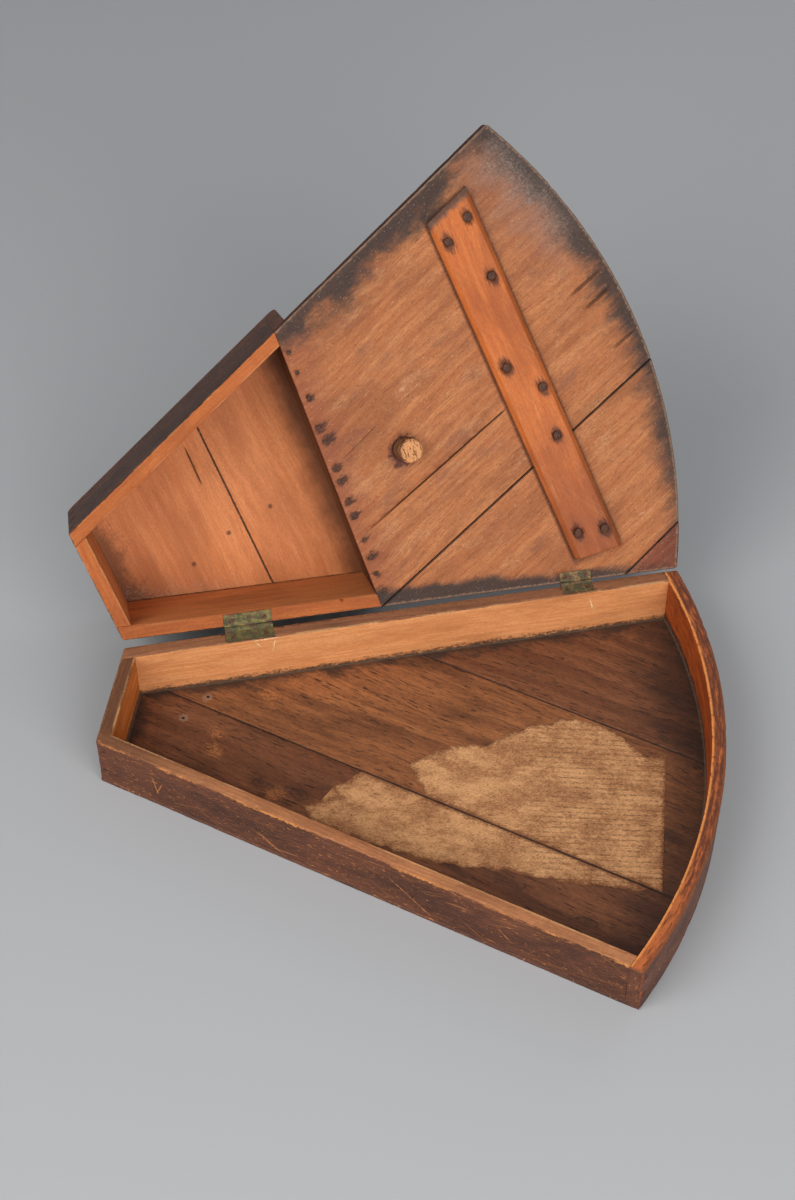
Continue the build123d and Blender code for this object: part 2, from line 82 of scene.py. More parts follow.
# %% [markdown]
# ## Two sets of coordinates
#
# A worn board is easiest to describe lying in the shut case, in millimetres: X runs
# along the case, Y towards the hinges, Z up. The tray already lies like that. The lid
# stands open, so its points are first turned about the hinge line until it is shut,
# and then measured from its rim. One matrix does it for the meshes, and one Mapping
# node made from the same matrix does it for every finish on the lid.

# %% The case's own coordinates
MM = 1000
hinge_joint = frame["joints"][0]
hinge_point = Vector(hinge_joint["pos_m"]) * MM
hinge_axis = Vector(hinge_joint["axis"]).normalized()
OPEN_ANGLE = math.radians(hinge_joint["range_deg"][1])
TRAY_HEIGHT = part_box("tray_end_rail")[1].z * MM
RIM_GAP = 2 * (hinge_point.z - TRAY_HEIGHT)

turn_shut = Matrix.Rotation(OPEN_ANGLE, 4, hinge_axis)
about_hinge = Matrix.Translation(hinge_point) @ turn_shut @ Matrix.Translation(-hinge_point)
from_rim = Matrix.Translation((0, 0, -TRAY_HEIGHT - RIM_GAP))
TO_TRAY = Matrix.Scale(MM, 4)
TO_LID = from_rim @ about_hinge @ TO_TRAY
print("tray height", round(TRAY_HEIGHT, 2), "mm, lid opened", hinge_joint["range_deg"][1])

# %% The case's plan
NARROW_X, WIDE_X = -212, 212
NARROW_HALF, WIDE_HALF = 47.5, 194
ARC_RADIUS = 416
RAIL = 11
BOARD = 10
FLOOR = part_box("floor_board_front")[1].z * MM
SIDE_SLOPE = (WIDE_HALF - NARROW_HALF) / (WIDE_X - NARROW_X)
SIDE_ANGLE = math.atan(SIDE_SLOPE)
SIDE_COS = math.cos(SIDE_ANGLE)
HALF_AT_ZERO = NARROW_HALF - SIDE_SLOPE * NARROW_X
ARC_CENTRE_X = WIDE_X - math.sqrt(ARC_RADIUS**2 - WIDE_HALF**2)
STEP_FRONT, STEP_HINGE = (-1.2, -120.3), (-17.1, 114.8)
STEP_RUN = (STEP_HINGE[0] - STEP_FRONT[0]) / (STEP_HINGE[1] - STEP_FRONT[1])
HOOD_HEIGHT = 92.39
HOOD_CEILING = HOOD_HEIGHT - BOARD
print("apex", round(ARC_CENTRE_X + ARC_RADIUS, 2), "side angle", round(math.degrees(SIDE_ANGLE), 2))

# %% [markdown]
# ## Camera, floor and light
#
# The camera stands in front of the case and looks down at about forty-seven degrees,
# as a person does at a table. The light is a wide soft key high on the left, a lower
# fill from the right, a weak light behind and an even grey world, which keeps the
# shadows open.

# %% Camera
camera = bpy.data.objects.new("camera", bpy.data.cameras.new("camera"))
bpy.context.scene.collection.objects.link(camera)
bpy.context.scene.camera = camera
camera.location = (0.1644, -1.0549, 1.3481)
camera.rotation_euler = [math.radians(a) for a in (42.62, 0, 8.25)]
camera.data.lens = 66.3
camera.data.sensor_width = 36
bpy.context.scene.view_settings.view_transform = "Standard"

# %% Floor and lights
def area_light(name, place, size, power, colour=(1, 1, 1)):
    """A square soft box that points at the case."""
    light = bpy.data.objects.new(name, bpy.data.lights.new(name, "AREA"))
    light.data.size, light.data.energy, light.data.color = size, power, colour
    light.location = place
    aim = Vector((0.02, 0.08, 0.08)) - light.location
    light.rotation_euler = aim.to_track_quat("-Z", "Y").to_euler()
    bpy.context.scene.collection.objects.link(light)
    return light


area_light("key", (-1.23, -1.39, 1.69), 1.8, 40, (1, 0.985, 0.96))
area_light("fill", (1.27, -1.73, 1.25), 1.8, 41, (1, 0.985, 0.965))
area_light("back", (1.04, 1.88, 1.28), 1.2, 6, (0.96, 0.98, 1))

world = bpy.data.worlds.new("studio")
bpy.context.scene.world = world
world.use_nodes = True
world.node_tree.nodes["Background"].inputs["Color"].default_value = (0.93, 0.96, 1, 1)
world.node_tree.nodes["Background"].inputs["Strength"].default_value = 0.26

bpy.ops.mesh.primitive_plane_add(size=30, location=(0, 0, 0))
table_top = bpy.context.object
table_top.name = "table_top"

# %% [markdown]
# ## A small language for finishes
#
# Wood this old is many thin layers, and each is a little arithmetic on where the
# point is. Writing that arithmetic as Python expressions keeps it readable. `Value`
# wraps one socket and adds a Math node for each operator: `|` keeps the larger of two
# values, so it joins masks, and `&` keeps the smaller. `Finish` holds a material's
# tree, and its `node` method adds any other kind of node.

# %% Sockets that can be added and multiplied
class Value:
    """An output socket of a finish, which can stand in a sum."""

    def __init__(self, finish, socket):
        self.finish, self.socket = finish, socket

    def __add__(self, other):
        return self.finish.math("ADD", self, other)

    def __sub__(self, other):
        return self.finish.math("SUBTRACT", self, other)

    def __rsub__(self, other):
        return self.finish.math("SUBTRACT", other, self)

    def __mul__(self, other):
        return self.finish.math("MULTIPLY", self, other)

    def __truediv__(self, other):
        return self.finish.math("DIVIDE", self, other)

    def __abs__(self):
        return self.finish.math("ABSOLUTE", self)

    def __or__(self, other):
        return self.finish.math("MAXIMUM", self, other)

    def __and__(self, other):
        return self.finish.math("MINIMUM", self, other)

    __radd__ = __add__
    __rmul__ = __mul__

    def ramp(self, low, high, end=1, start=0):
        """A smooth step from start to end as this value goes from low to high."""
        inputs = {0: self, 1: low, 2: high, 3: start, 4: end}
        if low > high:
            inputs = {0: self, 1: high, 2: low, 3: end, 4: start}
        settings = {"interpolation_type": "SMOOTHSTEP"}
        return self.finish.node("ShaderNodeMapRange", settings, inputs)

    def coat(self, mask, colour):
        """This colour with another laid over it where a mask is 1."""
        return self.finish.mix(mask, self, colour)


# %% A finish and its nodes
class Finish:
    """A material's node tree, with a principled shader to be fed."""

    def __init__(self, name):
        self.material = bpy.data.materials.new(name)
        self.material.use_nodes = True
        self.tree = self.material.node_tree
        self.shader = self.tree.nodes["Principled BSDF"]

    def node(self, kind, settings, inputs, output=0):
        """Any node: settings first, then values or links by socket name or index."""
        made = self.tree.nodes.new(kind)
        for key, value in settings.items():
            setattr(made, key, value)
        for key, value in inputs.items():
            self.feed(made.inputs[key], value)
        return Value(self, made.outputs[output])

    def feed(self, socket, value):
        """Link a Value to a socket, or set a plain value or an everyday colour on it."""
        if isinstance(value, Value):
            self.tree.links.new(value.socket, socket)
        elif socket.type == "RGBA" and len(value) == 3:
            socket.default_value = paint(*value)
        else:
            socket.default_value = value

    def math(self, operation, *values):
        return self.node("ShaderNodeMath", {"operation": operation}, dict(enumerate(values)))

    def vector(self, operation, *values):
        return self.node("ShaderNodeVectorMath", {"operation": operation}, dict(enumerate(values)))

    def mix(self, factor, first, second):
        """Blend two colours."""
        inputs = {0: factor, 6: first, 7: second}
        return self.node("ShaderNodeMix", {"data_type": "RGBA"}, inputs, 2)

    def noise(self, point, lengths, detail, roughness, seed):
        """Cloudy noise whose blots have these lengths along each axis, in millimetres."""
        lengths = lengths if isinstance(lengths, tuple) else (lengths,) * 3
        moved = self.vector("ADD", point, (17.3 * seed, -41.9 * seed, 29.7 * seed))
        squeezed = self.vector("MULTIPLY", moved, tuple(1 / v for v in lengths))
        inputs = {"Vector": squeezed, "Scale": 1, "Detail": detail, "Roughness": roughness}
        return self.node("ShaderNodeTexNoise", {}, inputs)

    def parts(self, point):
        """The three coordinates of a point."""
        made = self.node("ShaderNodeSeparateXYZ", {}, {0: point})
        return [Value(self, socket) for socket in made.socket.node.outputs]

    def place(self, matrix):
        """Where the point is in the tray's or the lid's own coordinates."""
        where = self.node("ShaderNodeTexCoord", {}, {}, "Object")
        move, turn, scale = matrix.decompose()
        inputs = {"Vector": where, "Location": move, "Rotation": turn.to_euler(), "Scale": scale}
        return self.node("ShaderNodeMapping", {}, inputs)

    def turned(self, point, angle):
        """The point in axes that are turned by an angle in plan."""
        return self.node("ShaderNodeMapping", {}, {"Vector": point, "Rotation": (0, 0, -angle)})

    def joined(self, x, y, z=0):
        """A point from its coordinates."""
        return self.node("ShaderNodeCombineXYZ", {}, {0: x, 1: y, 2: z})


def paint(red, green, blue):
    """A colour from its everyday 0 to 255 parts."""
    parts = [(c / 255 / 12.92 if c < 11 else ((c / 255 + 0.055) / 1.055) ** 2.4)
             for c in (red, green, blue)]
    return (*parts, 1)


# %% [markdown]
# ## Distances on the case
#
# Dirt and wear gather by place: grime in the corners and along the edges, polish on
# the arrises, stain on the outside. So every finish can ask how far a point lies
# inside each outer face, and which of them is nearest.

# %% Distances from the outer faces
class Plan:
    """How far a point lies inside the case's outer faces."""

    def __init__(self, finish, point):
        self.x, self.y, self.z = finish.parts(point)
        half = self.x * SIDE_SLOPE + HALF_AT_ZERO
        self.front = (half + self.y) * SIDE_COS
        self.hinge = (half - self.y) * SIDE_COS
        self.end = self.x - NARROW_X
        out = self.x - ARC_CENTRE_X
        self.arc = ARC_RADIUS - finish.math("SQRT", out * out + self.y * self.y)
        self.edge = self.front & self.hinge & (self.end & self.arc)
        self.step = (self.x - self.y * STEP_RUN - (STEP_FRONT[0] - STEP_FRONT[1] * STEP_RUN))


def nearest(distances):
    """The smallest of several distances."""
    return functools.reduce(operator.and_, distances)


def near_line(plan, start, end):
    """Distance in plan from a straight line through two points."""
    run = (Vector(end) - Vector(start)).normalized()
    return abs((plan.x - start[0]) * run.y - (plan.y - start[1]) * run.x)


def near_spots(plan, spots, along=1, angle=0):
    """Distance in plan from the nearest spot, shortened one way to make the spots oval."""
    distances = []
    for spot in spots:
        dx, dy = plan.x - spot[0], plan.y - spot[1]
        u = (dx * math.cos(angle) + dy * math.sin(angle)) / along
        v = dy * math.cos(angle) - dx * math.sin(angle)
        distances.append(plan.x.finish.math("SQRT", u * u + v * v))
    return nearest(distances)


def stroke(x, y, start, end, width):
    """A tapering mark between two points of a face: 1 on it, 0 off it."""
    run = Vector(end) - Vector(start)
    length = run.length
    run.normalize()
    u = (x - start[0]) * run.x + (y - start[1]) * run.y
    off = abs((x - start[0]) * run.y - (y - start[1]) * run.x)
    return (off / width).ramp(1, 0.3) * (u.ramp(0, length * 0.35) * u.ramp(length + 3, length - 3))


# %% [markdown]
# ## Wood
#
# Softwood shows three sizes of pattern: slow patches a hand wide, growth bands a few
# millimetres wide and very long, and fibres finer than a millimetre. All three are
# the same cloudy noise, squeezed across the grain. Short dark pores come from a
# fourth one, cut off high. The grain height also feeds the bump.

# %% Bare wood
class Wood:
    """Bare wood: a colour and a height, with grain along one direction."""

    def __init__(self, finish, point, shades, seed, across=1, pores=0, wander=3):
        pale, middle, dark = shades
        sway = finish.noise(point, (210, 70, 70), 1, 0.5, seed + 9)
        bend = finish.joined(0, (sway - 0.5) * wander * 8)
        self.point = finish.vector("ADD", point, bend)
        self.bands = finish.noise(self.point, (190, 5 * across, 5 * across), 4, 0.55, seed)
        self.patches = finish.noise(self.point, (90, 26, 26), 3, 0.6, seed + 1)
        self.fibres = finish.noise(self.point, (17, 0.6, 0.6), 3, 0.7, seed + 2)
        colour = finish.mix(self.bands.ramp(0.34, 0.66), middle, pale)
        colour = colour.coat(self.patches.ramp(0.56, 0.32, 0.6), dark)
        colour = colour.coat(self.fibres.ramp(0.64, 0.36, 0.42), dark)
        self.fuzz = finish.noise(self.point, (2.6, 1, 1), 4, 0.85, seed + 4)
        colour = colour.coat(self.fuzz.ramp(0.52, 0.4, 0.34), dark)
        colour = colour.coat(self.fuzz.ramp(0.53, 0.66, 0.3), pale)
        self.colour, self.height = colour, self.fibres * 0.25 + self.bands * 0.15 + self.fuzz * 0.2
        if pores:
            flecks = finish.noise(self.point, (11, 0.9, 0.9), 2, 0.5, seed + 3)
            pore = flecks.ramp(0.6, 0.68, pores)
            self.colour = colour.coat(pore, [0.35 * c for c in paint(*dark)[:3]] + [1])
            self.height = self.height - pore * 0.4


def begin_board(name, matrix, grain, shades, seed, **wood):
    """A new finish for a board: its points, its plan, its grain and its bare wood."""
    finish = Finish(name)
    point = finish.place(matrix)
    along = finish.turned(point, grain)
    return finish, point, Plan(finish, point), along, Wood(finish, along, shades, seed, **wood)


def scratches(finish, face_point, angles, rarity, seed):
    """Thin straight scratches at several angles in a face's plane."""
    marks = []
    for index, angle in enumerate(angles):
        turned = finish.turned(face_point, math.radians(angle))
        lines = finish.noise(turned, (70, 0.42, 400), 0, 0.5, seed + index)
        where = finish.noise(turned, (46, 13, 400), 1, 0.5, seed + 7 + index)
        marks.append(lines.ramp(rarity, rarity + 0.05) * where.ramp(0.57, 0.64))
    return functools.reduce(operator.or_, marks)


# %% Finishing a wooden piece
STAIN = (103, 63, 47)
STAIN_DARK = (76, 48, 38)
STAIN_WORN = (156, 92, 56)
STAIN_BLACK = (38, 24, 20)
RAW = (206, 134, 76)
RAW_PALE = (228, 176, 120)
CHARCOAL = (48, 43, 43)
BLOOM = (176, 158, 146)
FRESH_CUT = (255, 230, 188)


def stained(finish, wood, face_point, seed, depth=0):
    """Old dark stain over wood, rubbed through in spots and scratched to the raw wood."""
    clouds = finish.noise(wood.point, (70, 22, 22), 4, 0.6, seed + 20)
    colour = finish.mix(clouds.ramp(0.36, 0.64), STAIN_DARK, STAIN)
    rubbed = finish.noise(wood.point, (13, 1.3, 1.3), 4, 0.85, seed + 21)
    colour = colour.coat(rubbed.ramp(0.52, 0.66, 0.42), STAIN_WORN)
    colour = colour.coat(rubbed.ramp(0.48, 0.34, 0.5), STAIN_BLACK)
    colour = colour.coat(wood.fuzz.ramp(0.52, 0.64, 0.3), STAIN_WORN)
    colour = colour.coat(depth, STAIN_BLACK)
    marks = scratches(finish, face_point, (7, -33, 21), 0.71, seed + 22)
    chips = finish.noise(wood.point, (8, 1.7, 1.7), 3, 0.65, seed + 40)
    chips = chips.ramp(0.635, 0.675) * clouds.ramp(0.4, 0.54)
    dots = finish.noise(wood.point, (2.6, 1.5, 1.5), 2, 0.6, seed + 41).ramp(0.67, 0.71)
    bare = marks * 0.8 | chips * 0.9 | dots * 0.8
    return finish.mix(bare, colour, RAW), bare


def complete(finish, colour, roughness, height, depth_mm, gloss=0.22):
    """Feed a wooden finish's layers to the shader."""
    finish.feed(finish.shader.inputs["Base Color"], colour)
    finish.feed(finish.shader.inputs["Roughness"], roughness)
    finish.shader.inputs["Specular IOR Level"].default_value = gloss
    bump = finish.node(
        "ShaderNodeBump", {}, {"Strength": 1, "Distance": depth_mm / MM, "Height": height}
    )
    finish.feed(finish.shader.inputs["Normal"], bump)
    return finish.material


# %% [markdown]
# ## Walls
#
# A wall is orange or tan bare wood inside, handled brown on its rim, and stained
# almost black outside. The arris between rim and outside is knocked back to bright
# wood, in a broken line, and the inner arris is lightened too: partly real wear and
# partly a painted highlight where light catches the rounded edge. One function paints
# every straight wall. The grain runs along the wall, so the point is turned to lie
# along it first.

# %% A wall's finish
def wall_finish(name, matrix, angle, inner, rim, rim_height, seed, top=None, arris_wear_and_highlight=(0.4, 0.8),
                cuts=(), cut_paint=RAW, smoked=None):
    """A wall: bare inside, handled rim, stained outside, cuts, and bright arrises of worn wood with a
    painted highlight.
    """
    finish, point, plan, along, wood = begin_board(name, matrix, angle, inner, seed, across=0.45)
    rim_wood = Wood(finish, along, rim, seed + 5, across=0.45)
    u, _, z = finish.parts(along)
    if smoked:
        handled = u.ramp(smoked[0], smoked[1], 0, 0.72)
        rim_wood.colour = finish.mix(handled, rim_wood.colour, (84, 54, 42))
    face_point = finish.joined(u, z)
    ragged = finish.noise(point, (9, 9, 3), 3, 0.6, seed + 6) - 0.5
    fine = finish.noise(point, 2.2, 2, 0.6, seed + 7) - 0.5

    below_rim = abs(plan.z - rim_height)
    on_rim = (below_rim + ragged * 1.5).ramp(0.9, 0.3)
    colour = finish.mix(on_rim, wood.colour, rim_wood.colour)
    inner_side = plan.edge.ramp(RAIL - 2.4, RAIL - 0.6)
    worn = finish.noise(along, (34, 8, 8), 3, 0.6, seed + 8)
    # Painted highlight: the inner arris is lightened to pale raw wood, partly real wear and partly
    # light catching the rounded edge.
    inner_arris = inner_side * (below_rim + ragged * 3 + fine * 3).ramp(1.1, 0.2)
    inner_arris = inner_arris * worn.ramp(0.42, 0.6)
    colour = colour.coat(inner_arris * arris_wear_and_highlight[0], RAW_PALE)

    foot = FLOOR if top is None else top
    to_foot = abs(plan.z - foot)
    grime = (to_foot + ragged * 12 + fine * 10).ramp(6, 0, 0.85) * inner_side
    colour = colour.coat(grime, CHARCOAL)
    stain, bare = stained(finish, wood, face_point, seed, 0 if top is None else 0.55)
    outside = (plan.edge + ragged * 2.2).ramp(1, 0.45)
    colour = colour.coat(outside, stain)
    # Painted highlight: the outer arris is lightened to raw wood, partly real wear and partly light
    # catching the rounded edge.
    arris = (plan.edge + below_rim + ragged * 3 + fine * 4).ramp(1.7, 0.8)
    arris = arris * worn.ramp(0.4, 0.56)
    colour = colour.coat(arris * arris_wear_and_highlight[1], RAW)
    for start, end in cuts:
        mark = stroke(u, z, start, end, 0.65) * fine.ramp(-0.12, 0.06, 1, 0.2)
        colour = colour.coat(mark * 0.85, cut_paint)
    roughness = wood.fibres.ramp(0.3, 0.7, 0.68, 0.5) - outside * 0.08
    height = wood.height - bare * 0.3 + ragged * 0.2
    return complete(finish, colour, roughness, height, 0.5, 0.16)


TAN = ((244, 174, 116), (232, 156, 97), (188, 117, 71))
ORANGE = ((232, 142, 68), (206, 118, 54), (140, 74, 36))
RIM_BROWN = ((172, 114, 78), (144, 94, 66), (98, 66, 50))
RIM_GREY = ((136, 88, 60), (112, 74, 52), (74, 50, 40))
RIM_FRONT = ((212, 146, 98), (186, 122, 80), (132, 82, 56))
HOOD_RIM = ((202, 118, 64), (184, 98, 50), (144, 75, 38))
HOOD_INNER = ((228, 148, 90), (206, 128, 76), (148, 92, 54))

FRONT_CUTS = (((-54, 24), (-18, 2)), ((-46, 22), (-30, 9)),
              ((59, 37), (98, 8)), ((-137, 34), (-133, 16)),
              ((-127, 31), (-133, 17)), ((150, 30), (162, 18)))
HINGE_CUTS = (((-88, 47), (-62, 47.4)), ((-83.5, 46.5), (-78, 39)),
              ((-66.5, 47), (-69, 34)), ((188, 44), (192, 28)))

tray_finishes = {
    "tray_front_rail": wall_finish(
        "tray_front_wall", TO_TRAY, -SIDE_ANGLE, ORANGE, RIM_FRONT, TRAY_HEIGHT, 1, None, (0.5, 0.95),
        FRONT_CUTS, RAW, (-178, -60)),
    "tray_hinge_rail": wall_finish(
        "tray_hinge_wall", TO_TRAY, SIDE_ANGLE, TAN, RIM_BROWN, TRAY_HEIGHT, 2, None, (0.45, 0.3),
        HINGE_CUTS, FRESH_CUT),
    "tray_end_rail": wall_finish(
        "tray_end_wall", TO_TRAY, math.pi / 2, ORANGE, RIM_GREY, TRAY_HEIGHT, 3, None, (0.6, 0.4)),
}
hood_finishes = {
    "lid_front_rail": wall_finish(
        "hood_front_wall", TO_LID, -SIDE_ANGLE, HOOD_INNER, HOOD_RIM, 0, 4, HOOD_CEILING, (0.2, 0.5)),
    "lid_hinge_rail": wall_finish(
        "hood_hinge_wall", TO_LID, SIDE_ANGLE, HOOD_INNER, HOOD_RIM, 0, 5, HOOD_CEILING, (0.1, 0.2)),
    "lid_end_rail": wall_finish(
        "hood_end_wall", TO_LID, math.pi / 2, HOOD_INNER, HOOD_RIM, 0, 6, HOOD_CEILING, (0.2, 0.4)),
}
print("wall finishes", len(tray_finishes) + len(hood_finishes))

# %% [markdown]
# ## The arched wall
#
# This wall was sawn to its curve from a thick plank, so the grain runs straight
# across it while its faces curve. Its inside is the deepest orange of the case, its
# rim is mottled with dark stain, and a bright line follows its inner arris: worn wood,
# with a painted highlight where light catches the edge.

# %% The arched wall's finish
def arched_finish():
    inner = ((196, 98, 40), (160, 74, 32), (96, 42, 22))
    finish, point, plan, _, wood = begin_board(
        "arched_wall", TO_TRAY, math.pi / 2, inner, 11, across=0.9)
    bend = finish.math("ARCTAN2", plan.y, plan.x - ARC_CENTRE_X) * ARC_RADIUS
    face_point = finish.joined(bend, plan.z)
    ragged = finish.noise(point, (7, 7, 3), 4, 0.65, 12) - 0.5
    depth = TRAY_HEIGHT - plan.z
    on_rim = (depth + ragged * 1.5).ramp(0.9, 0.3)
    bent = finish.joined(bend, plan.arc, plan.z)
    mottle = finish.noise(bent, (16, 2.6, 5), 5, 0.75, 13)
    towards_corner = plan.y.ramp(-60, -180, 0.12)
    rim = finish.mix((mottle + towards_corner).ramp(0.44, 0.68), (104, 56, 38), (190, 104, 56))
    rim = finish.mix((plan.arc + ragged * 6).ramp(4, 0.5, 0.7), rim, STAIN_DARK)
    colour = finish.mix(on_rim, wood.colour, rim)
    inside = plan.arc.ramp(RAIL - 2.6, RAIL - 0.8)
    # Painted highlight: a bright line on the inner arris, partly worn wood and partly light catching
    # the edge.
    bright = inside * (depth + ragged * 9).ramp(1.8, 0.3)
    colour = colour.coat(bright * 0.9, (236, 152, 82))
    high = plan.z - FLOOR
    grime = (high + ragged * 22).ramp(9, 1, 0.85) * inside
    colour = colour.coat(grime, CHARCOAL)
    stain, bare = stained(finish, wood, face_point, 14)
    outside = (plan.edge + ragged * 2.6).ramp(1.1, 0.45)
    colour = colour.coat(outside, stain)
    arris = (plan.edge + depth + ragged * 6).ramp(2.4, 0.8)
    colour = colour.coat(arris * 0.6, (150, 84, 46))
    roughness = wood.fibres.ramp(0.3, 0.7, 0.6, 0.42)
    return complete(finish, colour, roughness, wood.height - bare * 0.3 + ragged * 0.3, 0.5)


tray_finishes["tray_arc_rail"] = arched_finish()

# %% [markdown]
# ## Floor boards
#
# The three floor boards are dark brown with open black pores. Grey-black dust packs
# the foot of every wall. A few knots and pale worn patches break the colour.

# %% The floor boards' finish
FLOOR_KNOTS = ((-89, -34.5), (-57, -42), (60, -83), (170, -127))
FLOOR_PALE = ((-133, 8), (-131, -8), (-98, 51), (-79, -43))
FLOOR_HOLES = ((-147, 44), (-162, 20))
FLOOR_JOINTS = (98, 226)


def floor_finish(name, seed, shades):
    finish, point, plan, along, wood = begin_board(
        name, TO_TRAY, -SIDE_ANGLE, shades, seed, across=1.6, pores=0.85, wander=4)
    colour = wood.colour
    blots = finish.noise(point, (16, 10, 10), 4, 0.65, seed + 4) - 0.5
    specks = finish.noise(point, 1.6, 3, 0.7, seed + 5) - 0.5
    pale = near_spots(plan, FLOOR_PALE, 1.4, -SIDE_ANGLE)
    torn = finish.noise(along, (7, 1.5, 1.5), 4, 0.7, seed + 7) - 0.5
    pale = (pale + blots * 18 + torn * 26 + specks * 6).ramp(6, 3, 0.75)
    pale = pale * wood.fuzz.ramp(0.42, 0.54)
    colour = colour.coat(pale, (186, 118, 66))
    knots = near_spots(plan, FLOOR_KNOTS, 1.9, -SIDE_ANGLE)
    rings = finish.math("SINE", knots * 2.2 + blots * 22 + torn * 6) * 0.2 + 0.7
    knot = (knots + blots * 16 + torn * 8).ramp(9, 2) * rings
    colour = colour.coat(knot * 0.8, (46, 30, 24))
    holes = near_spots(plan, FLOOR_HOLES)
    hole_rim = (holes + blots * 10 + specks * 6).ramp(4.6, 3, 0.4)
    colour = colour.coat(hole_rim, (168, 142, 120))
    colour = colour.coat(holes.ramp(1.5, 1), (14, 10, 8))
    joints = nearest([abs(plan.front - front) for front in FLOOR_JOINTS])
    colour = colour.coat((joints + specks * 1.2).ramp(1.2, 0.4, 0.85), (30, 20, 16))
    to_wall = plan.edge - RAIL
    dusty = (to_wall + blots * 34 + specks * 10).ramp(15, 1, 0.8)
    corner = (plan.arc + blots * 60).ramp(66, 16, 0.62)
    colour = colour.coat(dusty | corner, (46, 38, 34))
    line = (to_wall + specks * 3).ramp(1.8, 0.4, 0.55)
    colour = colour.coat(line, (120, 104, 86))
    underneath = plan.z.ramp(1.2, 0.4)
    stain, bare = stained(finish, wood, along, seed + 6)
    outer = underneath | plan.edge.ramp(1.2, 0.5)
    colour = colour.coat(outer, stain)
    roughness = wood.fibres.ramp(0.3, 0.7, 0.7, 0.5)
    return complete(finish, colour, roughness, wood.height + blots * 0.4, 0.55, 0.35)


DARK_FLOOR = ((150, 94, 60), (118, 70, 44), (66, 40, 28))
WARM_FLOOR = ((180, 114, 68), (140, 86, 52), (80, 48, 31))
tray_finishes["floor_board_front"] = floor_finish("front_floor_board", 21, DARK_FLOOR)
tray_finishes["floor_board_middle"] = floor_finish("middle_floor_board", 24, WARM_FLOOR)
tray_finishes["floor_board_hinge"] = floor_finish("hinge_floor_board", 27, DARK_FLOOR)

# %% [markdown]
# ## The flat boards of the lid
#
# Inside, the flat boards are orange-brown and blotchy. Charcoal-black grime lines the
# straight front edge and the arch, with a whitish bloom over it towards the corner.
# Rust has blackened the wood round each nail, and old glue has stained it dark
# round the peg. Outside they carry the same dark stain as the rest.

# %% The flat boards' finish
STEP_NAILS = ((2, -62), (0, -38), (2, -26), (-1, -3), (-1, 8), (-5, 25), (-6, 38), (-7, 59),
              (-7, 74), (-10, 88))
PEG = (54.8, 8)
OPEN_JOINT = ((-20, 116), (258.9, 27.6))
CORNER_JOINT = ((171, 179.8), (227.3, 159))
CRACKS = (((-11.9, 57.1), (135.9, 13.8)), ((1.7, -5.7), (38, -19)))
BATTEN_SIDES = (139, 178)
ARCH_SPLITS = (((217, -44.5), (249, -54)), ((222, -30), (250, -38)),
               ((232, 8), (254, 1.5)))


